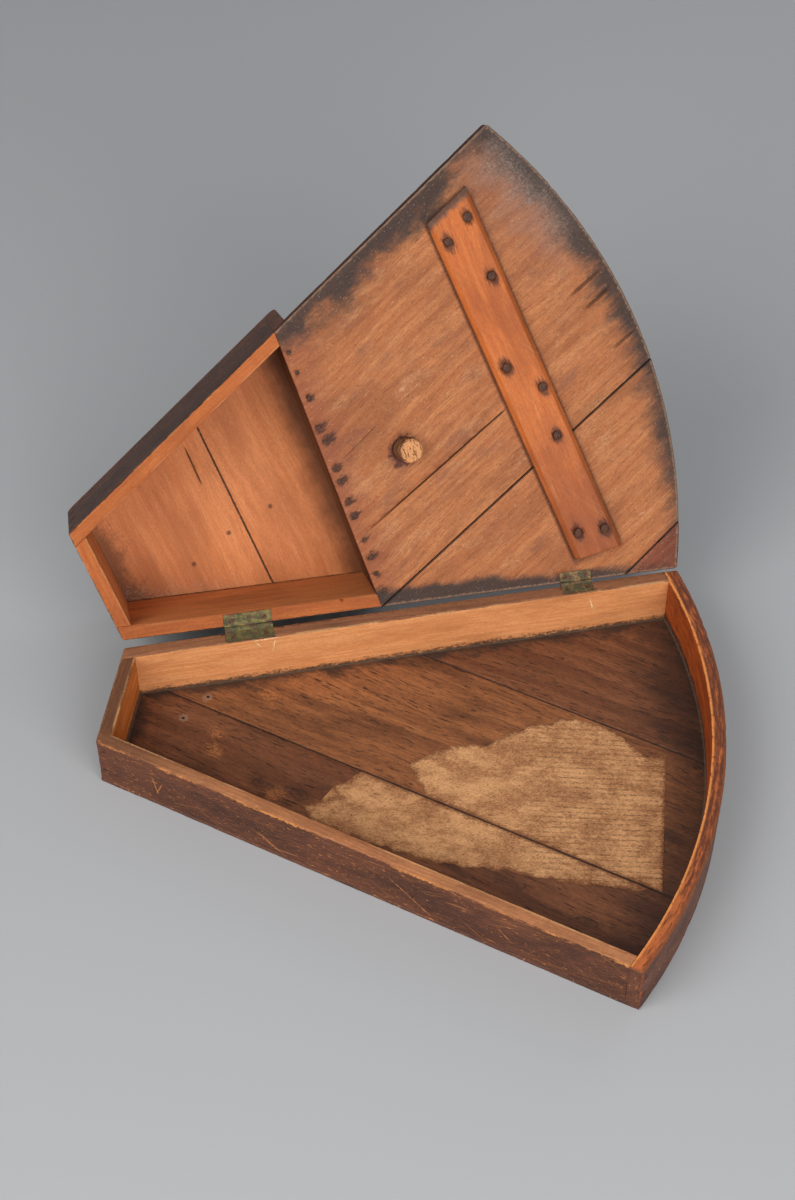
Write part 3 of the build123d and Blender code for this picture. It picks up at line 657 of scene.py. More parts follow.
def flat_finish(name, seed, shades, dirt=1):
    grain = math.radians(-18)
    finish, point, plan, along, wood = begin_board(
        name, TO_LID, grain, shades, seed, pores=0.35, wander=4)
    colour = wood.colour
    blots = finish.noise(point, (34, 22, 22), 4, 0.65, seed + 4) - 0.5
    fine = finish.noise(along, (5, 1.6, 1.6), 4, 0.7, seed + 5) - 0.5
    rubbed = finish.noise(along, (44, 22, 22), 6, 0.75, seed + 6)
    flecked = wood.fuzz.ramp(0.44, 0.62, 1, 0.25)
    pale_rub = rubbed.ramp(0.5, 0.68, 0.42) * flecked
    colour = colour.coat(pale_rub, (214, 164, 118))
    cream = finish.noise(along, (16, 7, 7), 5, 0.8, seed + 12)
    cream = cream.ramp(0.62, 0.72, 0.5) * flecked
    colour = colour.coat(cream, (232, 196, 156))
    murk = finish.noise(along, (40, 18, 18), 5, 0.65, seed + 7)
    colour = colour.coat(murk.ramp(0.53, 0.68, 0.4), (122, 78, 62))
    # Painted shade and dirt: a dark line on the boards along each side of the batten, in the corner
    # it makes with them.
    batten_edge_dirt_and_shade = BATTEN_SIDES[0] - plan.x | plan.x - BATTEN_SIDES[1]
    batten_edge_dirt_and_shade = (batten_edge_dirt_and_shade + fine * 2).ramp(3.2, 0.6) * abs(plan.y).ramp(158, 148)
    colour = colour.coat(batten_edge_dirt_and_shade * 0.7, (66, 38, 28))
    red = (plan.step + blots * 60).ramp(34, 4, 0.5)
    colour = colour.coat(red, (138, 72, 52))

    by_step = plan.step.ramp(10, 60, 0, 4)
    apex = finish.math("SQRT", plan.front * plan.front + plan.arc * plan.arc)
    by_apex = apex.ramp(60, 24, 11)
    front_off = plan.front + by_step + by_apex + blots * 50 + fine * 12
    front_band = front_off.ramp(31, 8)
    arch_width = plan.y * -0.04 + 12
    streaks = wood.bands.ramp(0.38, 0.6, -4, 3) * abs(plan.y + 10).ramp(70, 40)
    arch_edge = plan.arc + blots * 34 + fine * 14 + streaks - arch_width
    arch_band = arch_edge.ramp(14, -9)
    hinge_reach = plan.x.ramp(118, 60, 13, 7)
    hinge_band = (plan.hinge + blots * 20 + fine * 10 - hinge_reach).ramp(4, -4)
    grime = (front_band | arch_band | hinge_band) * dirt
    scorch = (plan.arc + blots * 60).ramp(76, 24) * plan.front.ramp(170, 60)
    colour = colour.coat(scorch * 0.55, (116, 80, 70))
    colour = colour.coat(grime * 0.92, CHARCOAL)
    salt = finish.noise(point, (1.8, 1.4, 1.4), 4, 0.8, seed + 8)
    veil = (plan.arc + blots * 90).ramp(58, 12) * plan.front.ramp(140, 70)
    veil = veil * (plan.front + blots * 60).ramp(8, 26, 1, 0.1)
    away = (plan.arc + blots * 30).ramp(4, 16, 1, 0.3)
    bloom = salt.ramp(0.4, 0.66, 1, 0.25) * (veil * away * 0.42 + grime * 0.06) * dirt
    colour = colour.coat(bloom, BLOOM)
    pepper = finish.noise(point, (1.7, 1.4, 1.4), 2, 0.6, seed + 13)
    colour = colour.coat(pepper.ramp(0.36, 0.3, 0.55), (88, 54, 40))
    colour = colour.coat(pepper.ramp(0.66, 0.72, 0.28), (232, 200, 166))
    rim_light = (plan.edge + abs(plan.z) + fine * 6).ramp(2.8, 0.8, 0.75)
    colour = colour.coat(rim_light, (150, 120, 98))

    nails = near_spots(plan, STEP_NAILS, 1.35, grain)
    burn = (nails + fine * 11 + blots * 12).ramp(5, 1.6, 0.85)
    colour = colour.coat(burn, (58, 38, 34))
    peg = near_spots(plan, [(PEG[0] - 4, PEG[1] - 1)], 1.1, grain)
    glue = (peg + fine * 14 + blots * 18).ramp(13.5, 9, 0.9)
    colour = colour.coat(glue, (70, 34, 34))
    crack = stroke(plan.x, plan.y, *CRACKS[0], 0.8)
    faint = stroke(plan.x, plan.y, *CRACKS[1], 0.5) * 0.5
    splits = [stroke(plan.x, plan.y, a, b, 1.8) for a, b in ARCH_SPLITS]
    joints = [near_line(plan, *line) for line in (OPEN_JOINT, CORNER_JOINT)]
    gap = nearest(joints).ramp(1, 0.6)
    dark = crack | faint | functools.reduce(operator.or_, splits) * 0.7 | gap
    colour = colour.coat(dark * 0.85, (38, 26, 22))

    stain, bare = stained(finish, wood, along, seed + 10)
    top = plan.z.ramp(BOARD - 1.2, BOARD - 0.5)
    outer = (plan.edge + fine * 1.5).ramp(1, 0.4)
    outside = top | outer
    colour = colour.coat(outside, stain)
    colour = colour.coat(outer * plan.front.ramp(3, 1.5, 0.6), STAIN_BLACK)
    arris = (plan.edge + abs(BOARD - plan.z) + fine * 5).ramp(2.4, 0.8, 0.7)
    colour = colour.coat(arris, RAW)
    roughness = wood.fibres.ramp(0.3, 0.7, 0.66, 0.48) + grime * 0.15
    height = wood.height + fine * 0.5 + blots * 0.3 - dark * 1.2 - bare * 0.3 * outside
    return complete(finish, colour, roughness, height, 0.6)


FLAT = ((202, 132, 82), (180, 108, 64), (138, 80, 48))
FLAT_RED = ((166, 92, 62), (140, 74, 50), (104, 54, 38))
lid_finishes = {
    "flat_board_front": flat_finish("front_flat_board", 31, FLAT),
    "flat_board_hinge": flat_finish("hinge_flat_board", 34, FLAT),
    "flat_board_corner": flat_finish("corner_piece", 37, FLAT_RED, 0.45),
}

# %% [markdown]
# ## The hood's top and step
#
# The hood's two top boards have their grain across the case. Inside they are clean
# orange-brown, darkened by the end wall, the front wall and the step with speckled
# grime and painted shade. The step wall is nearly black inside at the rim, and browner
# towards the ceiling, which is grime and painted shade together.

# %% The hood boards' finish
HOOD_JOINT_X = -87.5
HOOD_CRACK = ((-103.5, -58), (-104.5, -22))
HOOD_SPOTS = ((-102, 25), (-139, 36), (-62, 20))


def hood_finish(name, seed):
    shades = ((234, 152, 96), (220, 134, 80), (174, 100, 58))
    finish, point, plan, along, wood = begin_board(
        name, TO_LID, math.pi / 2, shades, seed, across=1.1)
    colour = wood.colour
    blots = finish.noise(point, (24, 24, 24), 4, 0.65, seed + 4) - 0.5
    fine = finish.noise(point, 2.6, 4, 0.75, seed + 5) - 0.5
    by_end = plan.end - RAIL
    # Painted shade and grime: the ceiling is darkened by the end wall, the front wall and the step,
    # where the walls shade it and dirt gathers.
    end_wall_dirt_and_shade = (by_end + blots * 50 + fine * 30).ramp(24, 1, 0.7)
    front_wall_dirt_and_shade = (plan.front - RAIL + blots * 26).ramp(16, 1, 0.45)
    by_step = (abs(plan.step) + blots * 20).ramp(24, 1, 0.85)
    dirt = end_wall_dirt_and_shade | front_wall_dirt_and_shade | by_step
    colour = colour.coat(dirt, (92, 54, 34))
    salt = finish.noise(point, (2.4, 2, 2), 4, 0.75, seed + 8)
    near_hinge = (plan.hinge - RAIL + blots * 30).ramp(20, 1)
    bloom = salt.ramp(0.46, 0.66) * near_hinge * plan.end.ramp(120, 60)
    colour = colour.coat(bloom * 0.55, BLOOM)
    crack = stroke(plan.x, plan.y, *HOOD_CRACK, 0.9)
    colour = colour.coat(crack * 0.75, (54, 30, 22))
    joint = (abs(plan.x - HOOD_JOINT_X) + fine * 1.6).ramp(1.3, 0.5)
    colour = colour.coat(joint * 0.85, (60, 34, 24))
    spots = near_spots(plan, HOOD_SPOTS)
    colour = colour.coat((spots + fine * 2).ramp(2.6, 1.2, 0.85), STAIN)
    stain, bare = stained(finish, wood, along, seed + 10)
    top = plan.z.ramp(HOOD_CEILING + 0.6, HOOD_CEILING + 1.4)
    under_rails = plan.edge.ramp(RAIL - 0.2, RAIL - 1.2)
    outside = top | under_rails
    colour = colour.coat(outside, stain)
    worn = finish.noise(along, (20, 6, 6), 3, 0.6, seed + 12)
    arris = (plan.edge + (HOOD_HEIGHT - plan.z) + fine * 8).ramp(2.8, 0.8)
    colour = colour.coat(arris * worn.ramp(0.44, 0.6), (170, 104, 60))
    roughness = wood.fibres.ramp(0.3, 0.7, 0.64, 0.48)
    height = wood.height + fine * 0.3 - crack - bare * 0.3 * outside
    return complete(finish, colour, roughness, height, 0.5)


def step_finish():
    shades = ((150, 92, 52), (118, 68, 38), (66, 38, 24))
    finish, point, plan, along, wood = begin_board("step_wall", TO_LID, math.pi / 2, shades, 45)
    ragged = finish.noise(point, (18, 18, 9), 4, 0.65, 46) - 0.5
    # Painted shade and grime: the step wall is darkened towards the rim, where it stands in the
    # hood's shadow and dirt gathers.
    grime_and_shade_to_rim = (plan.z + ragged * 40).ramp(62, 18, 0.95, 0.15)
    colour = finish.mix(grime_and_shade_to_rim, wood.colour, (40, 27, 20))
    u, _, z = finish.parts(along)
    face_point = finish.joined(u, z)
    stain, bare = stained(finish, wood, face_point, 47)
    outer = plan.step.ramp(8, 10.5) | plan.edge.ramp(1.2, 0.5)
    colour = colour.coat(outer, stain)
    roughness = wood.fibres.ramp(0.3, 0.7, 0.68, 0.5)
    return complete(finish, colour, roughness, wood.height - bare * 0.3 * outer, 0.5)


lid_finishes["hood_board_narrow"] = hood_finish("narrow_hood_board", 41)
lid_finishes["hood_board_step"] = hood_finish("step_hood_board", 43)
lid_finishes["step_wall"] = step_finish()
lid_finishes.update(hood_finishes)

# %% [markdown]
# ## Batten and peg
#
# The batten is cleaner and more orange than the boards it holds together. Each of its
# eight nails has rusted and left a dark halo, drawn out along the grain. Its front
# end is worn grey. The peg is pale end grain, cut by a knife.

# %% The batten's finish
BATTEN_NAILS = ((148, -126), (169, -137), (168, -88), (150, -18), (170, 8), (165, 48),
                (149, 128), (170, 134))


def batten_finish():
    shades = ((214, 122, 62), (199, 106, 50), (150, 76, 38))
    grain = math.pi / 2
    finish, point, plan, along, wood = begin_board(
        "batten", TO_LID, grain, shades, 51, across=0.8)
    fine = finish.noise(along, (6, 1.4, 1.4), 4, 0.7, 52) - 0.5
    blots = finish.noise(point, 20, 4, 0.6, 53) - 0.5
    colour = wood.colour
    murk = (plan.y + blots * 140).ramp(0, 130, 0.5)
    colour = colour.coat(murk, (120, 66, 46))
    rust = (near_spots(plan, BATTEN_NAILS, 1.7, grain) + fine * 8 + blots * 6).ramp(6.4, 3, 0.8)
    colour = colour.coat(rust, (62, 34, 26))
    from_tip = (plan.y + plan.x * SIDE_SLOPE + 96.8) * SIDE_COS
    grey = (from_tip + fine * 12 + blots * 10).ramp(8, 2, 0.85)
    colour = colour.coat(grey, (84, 74, 68))
    # Painted shade and dirt: the batten is darkened at its foot, where it meets the boards.
    foot = (plan.z + fine * 3).ramp(-2.4, -0.4, 0.65)
    colour = colour.coat(foot, (70, 42, 30))
    marks = scratches(finish, along, (4, -30), 0.7, 54)
    colour = colour.coat(marks * 0.3, RAW_PALE)
    roughness = wood.fibres.ramp(0.3, 0.7, 0.6, 0.42)
    return complete(finish, colour, roughness, wood.height + fine * 0.4, 0.45)


def peg_finish():
    finish = Finish("peg")
    point = finish.place(TO_LID)
    plan = Plan(finish, point)
    from_centre = near_spots(plan, [PEG])
    fine = finish.noise(point, (2.2, 2.2, 1), 4, 0.7, 57) - 0.5
    rings = finish.math("SINE", from_centre * 3.1 + fine * 7) * 0.5 + 0.5
    rings = rings * fine.ramp(-0.12, 0.1)
    colour = finish.mix(rings * 0.5, (216, 154, 102), (158, 92, 52))
    cuts = finish.noise(point, (1.2, 5, 3), 2, 0.5, 58)
    colour = colour.coat(cuts.ramp(0.56, 0.64, 0.8), (104, 58, 34))
    down = plan.z + 12.5
    bark = (down + fine * 10 - (plan.x + plan.y - PEG[0] - PEG[1]) * 0.35).ramp(2, 4.5)
    bark = bark * (from_centre + fine * 3).ramp(6.8, 8.2)
    colour = colour.coat(bark * 0.85, (88, 54, 34))
    foot = (down + fine * 4).ramp(9, 11.5)
    colour = colour.coat(foot, (56, 32, 28))
    height = fine + cuts.ramp(0.55, 0.7, 0, 1)
    return complete(finish, colour, fine.ramp(-0.3, 0.3, 0.75, 0.5), height, 0.5)


lid_finishes["batten"] = batten_finish()
lid_finishes["chock_peg"] = peg_finish()

# %% [markdown]
# ## Iron and brass
#
# The nails and screws are iron, black with red rust in the hollows. The hinges are
# brass, but most of what shows is green verdigris and brown dirt, with yellow metal
# only where the leaf was rubbed.

# %% Iron
def iron_finish(name, dark, rust, seed):
    finish = Finish(name)
    point = finish.place(TO_TRAY)
    grain = finish.noise(point, 1.6, 4, 0.7, seed)
    blots = finish.noise(point, 3.5, 3, 0.6, seed + 1)
    colour = finish.mix(grain.ramp(0.42, 0.6), dark, rust)
    finish.feed(finish.shader.inputs["Metallic"], blots.ramp(0.5, 0.7, 0.6, 0.1))
    return complete(finish, colour, blots.ramp(0.4, 0.7, 0.5, 0.8), grain + blots, 0.4)


nail_iron = iron_finish("nail_iron", (68, 54, 48), (108, 68, 50), 61)
screw_iron = iron_finish("screw_iron", (84, 60, 48), (120, 82, 62), 63)


# %% Brass
def brass_finish(name, metal, green, seed):
    finish = Finish(name)
    point = finish.place(TO_TRAY)
    clouds = finish.noise(point, 5, 4, 0.65, seed)
    fine = finish.noise(point, 1.1, 4, 0.7, seed + 1)
    dirt = finish.noise(point, (9, 3, 3), 4, 0.65, seed + 2)
    tarnish = finish.mix(fine.ramp(0.4, 0.62), green, (66, 62, 40))
    crust = (clouds + (fine - 0.5) * 0.4).ramp(0.6, 0.44)
    colour = finish.mix(crust, metal, tarnish)
    brown = dirt.ramp(0.5, 0.62, 0.85)
    colour = colour.coat(brown, (98, 66, 52))
    finish.feed(finish.shader.inputs["Metallic"], clouds.ramp(0.5, 0.68, 0.5, 0.05))
    roughness = clouds.ramp(0.42, 0.62, 0.5, 0.8)
    return complete(finish, colour, roughness, fine + clouds, 0.3, 0.4)


large_brass = brass_finish("large_hinge_brass", (128, 114, 64), (94, 94, 63), 71)
small_brass = brass_finish("small_hinge_brass", (138, 108, 68), (94, 92, 64), 74)

# %% [markdown]
# ## The paper remnant
#
# A printed sheet was once pasted over the floor. What is left is brown, torn and
# rubbed, with only faint rows where lines of print once stood. No letter can be read.

# %% The paper's finish
PRINT_ANGLE = math.radians(5)
PRINT_PITCH = 4.8


def paper_finish():
    finish = Finish("old_paper")
    point = finish.place(TO_TRAY)
    fibres = finish.noise(point, (2.2, 1.2, 1.2), 4, 0.8, 81)
    clouds = finish.noise(point, (32, 20, 20), 6, 0.75, 82)
    specks = finish.noise(point, 1.5, 2, 0.6, 83)
    colour = finish.mix(clouds.ramp(0.4, 0.62), (166, 114, 75), (214, 160, 110))
    colour = colour.coat(fibres.ramp(0.5, 0.66, 0.55), (222, 176, 126))
    colour = colour.coat(fibres.ramp(0.48, 0.36, 0.5), (112, 72, 46))
    down_page = finish.parts(finish.turned(point, PRINT_ANGLE))
    x, row_at = down_page[0], down_page[1]
    row = finish.math("SINE", row_at * (2 * math.pi / PRINT_PITCH) + (clouds - 0.5) * 2)
    ink = finish.noise(point, (3, 1.4, 1.4), 3, 0.75, 84)
    faint = (x + clouds * 60).ramp(110, 170)
    gaps = finish.noise(point, (9, 4, 4), 3, 0.7, 85)
    rows = row.ramp(0.2, 0.8) * ink.ramp(0.44, 0.54) * faint
    rows = rows * gaps.ramp(0.42, 0.54, 1, 0.35)
    colour = colour.coat(rows * 0.6, (88, 62, 44))
    colour = colour.coat(specks.ramp(0.62, 0.69, 0.75), (96, 60, 40))
    worn = (fibres * 0.5 + clouds).ramp(0.64, 0.54, 0.55)
    colour = colour.coat(worn, (124, 76, 48))
    inward = finish.node("ShaderNodeAttribute", {"attribute_name": "inward"}, {}, "Fac")
    thin = (inward + (fibres - 0.5) * 9 + (clouds - 0.5) * 6).ramp(4, 0, 0.75)
    colour = colour.coat(thin, (116, 70, 44))
    return complete(finish, colour, fibres.ramp(0.3, 0.7, 0.9, 0.7), fibres + clouds, 0.3, 0.2)


tray_finishes["paper_remnant"] = paper_finish()
print("finishes", len(bpy.data.materials))

# %% [markdown]
# ## Wearing the boards
#
# The frame's boards have perfect edges, and no old board has. Each one is copied,
# its long arrises are rounded by a weighted bevel, and it is cut into a net a few
# millimetres wide. Then every corner of the net is pressed in a little by noise, and
# more on the arrises, which gives nicks and soft edges that catch the light. A
# sculpt or a remesh would do it too, but this keeps flat faces flat and joints tight.

# %% Distances in Python
def inside(x, y):
    """Distances inside the front, hinge, end and arched faces."""
    half = SIDE_SLOPE * x + HALF_AT_ZERO
    reach = math.hypot(x - ARC_CENTRE_X, y)
    return (half + y) * SIDE_COS, (half - y) * SIDE_COS, x - NARROW_X, ARC_RADIUS - reach


def case_mesh(name):
    """A frame node's mesh in the case's coordinates, merged, with its flat faces whole."""
    node = frame["nodes"][name]
    mesh = bmesh.new()
    mesh.from_mesh(node.data)
    mesh.transform(TO_LID if node["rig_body"] == "lid" else TO_TRAY)
    bmesh.ops.remove_doubles(mesh, verts=mesh.verts, dist=0.002)
    bmesh.ops.dissolve_limit(
        mesh, angle_limit=math.radians(0.6), verts=mesh.verts, edges=mesh.edges
    )
    return mesh


def new_piece(name, mesh, body, replaced, slot_name, material, smooth_angle=50):
    """Turn a bmesh in the case's coordinates into a finished piece that rides a body."""
    matrix = TO_LID if body == "lid" else TO_TRAY
    mesh.transform(matrix.inverted())
    data = bpy.data.meshes.new(name)
    mesh.to_mesh(data)
    mesh.free()
    data.shade_smooth()
    data.set_sharp_from_angle(angle=math.radians(smooth_angle))
    data.materials.append(material)
    piece = bpy.data.objects.new(name, data)
    bpy.context.scene.collection.objects.link(piece)
    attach(piece, body)
    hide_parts(*replaced)
    return piece


# %% Round the long arrises
ARRIS_MAX = 3.6
ARRIS_SHORTEST = 8


def arris_radius(point, on_lid):
    """How far an arris is rounded, by where it runs."""
    front, hinge, end, arc = inside(point.x, point.y)
    outer = min(front, hinge, end, arc)
    faces_met = sum(d < 0.5 for d in (front, hinge, end, arc))
    top = HOOD_HEIGHT if on_lid else 0
    if faces_met >= 2:
        return 3.6 if on_lid else 2.2
    if outer < 0.5 and abs(point.z - top) < 0.5:
        return 1
    if outer < 0.5:
        return 0.9
    if not on_lid and point.z > TRAY_HEIGHT - 0.5:
        return 0.7
    if on_lid and point.z < -1:
        return 0.6
    return 0.4


def round_arrises(mesh, on_lid):
    """Bevel every long sharp edge by its own radius, and return a new bmesh."""
    weights = mesh.edges.layers.float.new("bevel_weight_edge")
    for edge in mesh.edges:
        if len(edge.link_faces) != 2 or edge.calc_length() < ARRIS_SHORTEST:
            continue
        if edge.calc_face_angle() > math.radians(35):
            middle = (edge.verts[0].co + edge.verts[1].co) / 2
            edge[weights] = arris_radius(middle, on_lid) / ARRIS_MAX
    data = bpy.data.meshes.new("arrises")
    mesh.to_mesh(data)
    mesh.free()
    holder = bpy.data.objects.new("arrises", data)
    bpy.context.scene.collection.objects.link(holder)
    bevel = holder.modifiers.new("arrises", "BEVEL")
    bevel.limit_method, bevel.width, bevel.segments = "WEIGHT", ARRIS_MAX, 3
    bevel.use_clamp_overlap = False
    ready = holder.evaluated_get(bpy.context.evaluated_depsgraph_get())
    rounded = bmesh.new()
    rounded.from_mesh(bpy.data.meshes.new_from_object(ready))
    bpy.data.objects.remove(holder)
    bpy.data.meshes.remove(data)
    return rounded


# %% Cut a mesh into a net
def cut(mesh, point, direction):
    """Score a mesh along a plane, without taking anything away."""
    everything = mesh.verts[:] + mesh.edges[:] + mesh.faces[:]
    bmesh.ops.bisect_plane(mesh, geom=everything, dist=1e-4, plane_co=point, plane_no=direction)


def cut_net(mesh, spacing):
    """Score a mesh along evenly spaced planes across X, Y and Z."""
    corners = np.array([v.co for v in mesh.verts])
    for axis in range(3):
        low, high = corners[:, axis].min(), corners[:, axis].max()
        count = int((high - low) / spacing[axis])
        direction = Vector((axis == 0, axis == 1, axis == 2))
        for i in range(1, count):
            cut(mesh, direction * (low + (high - low) * i / count), direction)


# %% Cracks and shrunken joints
def groove(mesh, start, end, face_z, width, depth):
    """A V-shaped crack in one face, tapering to both ends."""
    run = Vector((end[0] - start[0], end[1] - start[1], 0))
    length = run.length
    run.normalize()
    side = Vector((-run.y, run.x, 0))
    origin = Vector((*start, 0))
    for offset in (-width, 0, width):
        cut(mesh, origin + side * offset, side)
    for vertex in mesh.verts:
        from_start = vertex.co - origin
        along = from_start.dot(run) / length
        if abs(from_start.dot(side)) < 0.02 and 0 < along < 1 and abs(vertex.co.z - face_z) < 0.02:
            vertex.co.z += depth * min(1, 6 * along, 6 * (1 - along))


def shrink_from(mesh, start, end, gap):
    """Draw back the faces that lie on a joint line, as a board shrinks."""
    run = Vector((end[0] - start[0], end[1] - start[1], 0)).normalized()
    side = Vector((-run.y, run.x, 0))
    origin = Vector((*start, 0))
    middle = sum((v.co for v in mesh.verts), Vector()) / len(mesh.verts)
    towards = math.copysign(gap, (middle - origin).dot(side))
    for vertex in mesh.verts:
        if abs((vertex.co - origin).dot(side)) < 0.9:
            vertex.co += side * towards


# %% Wear
def wear(mesh, seed, nick=0.5, hollow=0.14):
    """Press a mesh in by noise: a little everywhere, and more on its arrises."""
    shift = Vector((seed * 13.7, seed * -7.1, seed * 3.3))
    moves = []
    for vertex in mesh.verts:
        normals = [f.normal for f in vertex.link_faces]
        sharp = max((normals[0].angle(n, 0) for n in normals), default=0) > 0.2
        slow = noise.noise(vertex.co / 31 + shift)
        depth = hollow * (0.5 + 0.5 * slow)
        if sharp:
            quick = noise.noise(vertex.co / 7 + shift) + 0.6 * noise.noise(vertex.co / 2.6 - shift)
            depth += nick * max(0, quick + 0.5 * slow - 0.22)
        moves.append(vertex.normal * -depth)
    for vertex, move in zip(mesh.verts, moves):
        vertex.co += move
    many_sided = [f for f in mesh.faces if len(f.verts) > 4]
    bmesh.ops.triangulate(mesh, faces=many_sided)


# %% Make the worn boards
NET = (4, 4, 4.5)
NICKS = {"tray_arc_rail": 0.8, "tray_front_rail": 0.55, "flat_board_corner": 1.4}


def slot_of(name):
    """The record's material slot for a frame node."""
    rows = frame["record"]["subparts"]
    return next(row["material_slot"] for row in rows if row["node"] == name)


def worn_board(name, material, seed):
    body = frame["nodes"][name]["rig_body"]
    mesh = round_arrises(case_mesh(name), body == "lid")
    cut_net(mesh, NET)
    if name == "flat_board_front":
        groove(mesh, *CRACKS[0], 0, 0.45, 2.2)
        for start, end in ARCH_SPLITS[:2]:
            groove(mesh, start, end, 0, 0.8, 1.4)
    if name == "hood_board_narrow":
        groove(mesh, *HOOD_CRACK, HOOD_CEILING, 0.5, 1.6)
    if name in ("flat_board_front", "flat_board_hinge"):
        shrink_from(mesh, *OPEN_JOINT, 0.5)
    wear(mesh, seed, NICKS.get(name, 0.5))
    return new_piece(name + "_worn", mesh, body, [name], slot_of(name), material)


boards = {k: v for k, v in {**tray_finishes, **lid_finishes}.items()
          if k not in ("paper_remnant", "chock_peg")}
for seed, (name, material) in enumerate(boards.items()):
    piece = worn_board(name, material, seed + 1)
    print(piece.name, len(piece.data.polygons), "faces")

# %% [markdown]
# ## Nails
#
# Every nail was driven by hand, so no two heads sit alike. One Geometry Nodes tree
# makes them all: a low domed head and a shank on every point of a cloud, turned along
# the nail, sized a little at random, and dented by noise. The points come from the
# frame, one for each nail it holds, so the nails stay in their holes.

# %% Find the nails in the frame
def loose_parts(mesh):
    """The separate solids of a bmesh, as arrays of corners."""
    unseen = dict.fromkeys(mesh.verts)
    while unseen:
        part, queue = [], [unseen.popitem()[0]]
        while queue:
            vertex = queue.pop()
            part.append(vertex.co.copy())
            for edge in vertex.link_edges:
                other = edge.other_vert(vertex)
                if other in unseen:
                    unseen.pop(other)
                    queue.append(other)
        yield np.array(part)


def nail_points(name):
    """Each nail's head centre and the direction it points out of the wood."""
    mesh = case_mesh(name)
    found = []
    for part in loose_parts(mesh):
        middle = (part.min(0) + part.max(0)) / 2
        axis = np.linalg.svd(part - part.mean(0), full_matrices=False)[2][0]
        along = (part - middle) @ axis
        across = np.linalg.norm((part - middle) - np.outer(along, axis), axis=1)
        head_side = 1 if along[across.argmax()] > 0 else -1
        head = middle + axis * head_side * abs(along).max()
        found.append((Vector(head), Vector(axis * head_side), across.max(), np.ptp(along)))
    mesh.free()
    return found


# %% The nail tree
def nail_tree():
    """Geometry Nodes: a hand-driven nail on every point."""
    tree = bpy.data.node_groups.new("driven_nails", "GeometryNodeTree")
    face = tree.interface
    face.new_socket("Points", in_out="INPUT", socket_type="NodeSocketGeometry")
    for name, default in (("Head Radius", 0.002), ("Dome", 0.0006), ("Shank Radius", 0.001),
                          ("Shank Length", 0.02), ("Dents", 0.0003)):
        face.new_socket(name, in_out="INPUT", socket_type="NodeSocketFloat").default_value = default
    face.new_socket("Seed", in_out="INPUT", socket_type="NodeSocketInt").default_value = 3
    face.new_socket("Iron", in_out="INPUT", socket_type="NodeSocketMaterial")
    face.new_socket("Nails", in_out="OUTPUT", socket_type="NodeSocketGeometry")
    given = tree.nodes.new("NodeGroupInput")

    def add(kind, inputs, **settings):
        made = tree.nodes.new(kind)
        for key, value in settings.items():
            setattr(made, key, value)
        for key, value in inputs.items():
            if isinstance(value, bpy.types.NodeSocket):
                tree.links.new(value, made.inputs[key])
            else:
                made.inputs[key].default_value = value
        return made

    ball = add("GeometryNodeMeshUVSphere", {"Segments": 14, "Rings": 8, "Radius": 1})
    size = add("ShaderNodeCombineXYZ", {0: given.outputs["Head Radius"],
                                        1: given.outputs["Head Radius"], 2: given.outputs["Dome"]})
    head = add("GeometryNodeTransform", {"Geometry": ball.outputs[0], "Scale": size.outputs[0]})
    shank = add("GeometryNodeMeshCylinder", {"Vertices": 8, "Radius": given.outputs["Shank Radius"],
                                             "Depth": given.outputs["Shank Length"]})
    half = add("ShaderNodeMath", {0: given.outputs["Shank Length"], 1: -0.5}, operation="MULTIPLY")
    sunk = add("ShaderNodeCombineXYZ", {2: half.outputs[0]})
    shank = add("GeometryNodeTransform", {"Geometry": shank.outputs[0],
                                          "Translation": sunk.outputs[0]})
    nail = add("GeometryNodeJoinGeometry", {})
    tree.links.new(head.outputs[0], nail.inputs[0])
    tree.links.new(shank.outputs[0], nail.inputs[0])
    towards = add("GeometryNodeInputNamedAttribute", {"Name": "towards"}, data_type="FLOAT_VECTOR")
    turn = add("FunctionNodeAlignRotationToVector", {"Vector": towards.outputs[0]}, axis="Z")
    spin = add("FunctionNodeRandomValue", {"Seed": given.outputs["Seed"]}, data_type="FLOAT")
    spin.inputs[3].default_value = 6.283
    local = add("ShaderNodeCombineXYZ", {2: spin.outputs[1]})
    turned = add("FunctionNodeRotateRotation", {0: turn.outputs[0], 1: local.outputs[0]},
                 rotation_space="LOCAL")
    grow = add("FunctionNodeRandomValue", {"Seed": given.outputs["Seed"]},
               data_type="FLOAT_VECTOR")
    grow.inputs[0].default_value, grow.inputs[1].default_value = (0.86, 0.8, 0.7), (1.08, 1.12, 1.3)
    placed = add("GeometryNodeInstanceOnPoints", {
        "Points": given.outputs["Points"], "Instance": nail.outputs[0],
        "Rotation": turned.outputs[0], "Scale": grow.outputs[0]})
    whole = add("GeometryNodeRealizeInstances", {"Geometry": placed.outputs[0]})
    dent = add("ShaderNodeTexNoise", {"Scale": 420, "Detail": 2})
    centred = add("ShaderNodeVectorMath", {0: dent.outputs["Color"], 1: (0.5, 0.5, 0.5)},
                  operation="SUBTRACT")
    push = add("ShaderNodeVectorMath", {0: centred.outputs[0]}, operation="SCALE")
    tree.links.new(given.outputs["Dents"], push.inputs["Scale"])
    dented = add("GeometryNodeSetPosition", {"Geometry": whole.outputs[0],
                                             "Offset": push.outputs[0]})
    painted = add("GeometryNodeSetMaterial", {"Geometry": dented.outputs[0],
                                              "Material": given.outputs["Iron"]})
    result = tree.nodes.new("NodeGroupOutput")
    tree.links.new(painted.outputs[0], result.inputs[0])
    return tree


DRIVEN_NAILS = nail_tree()


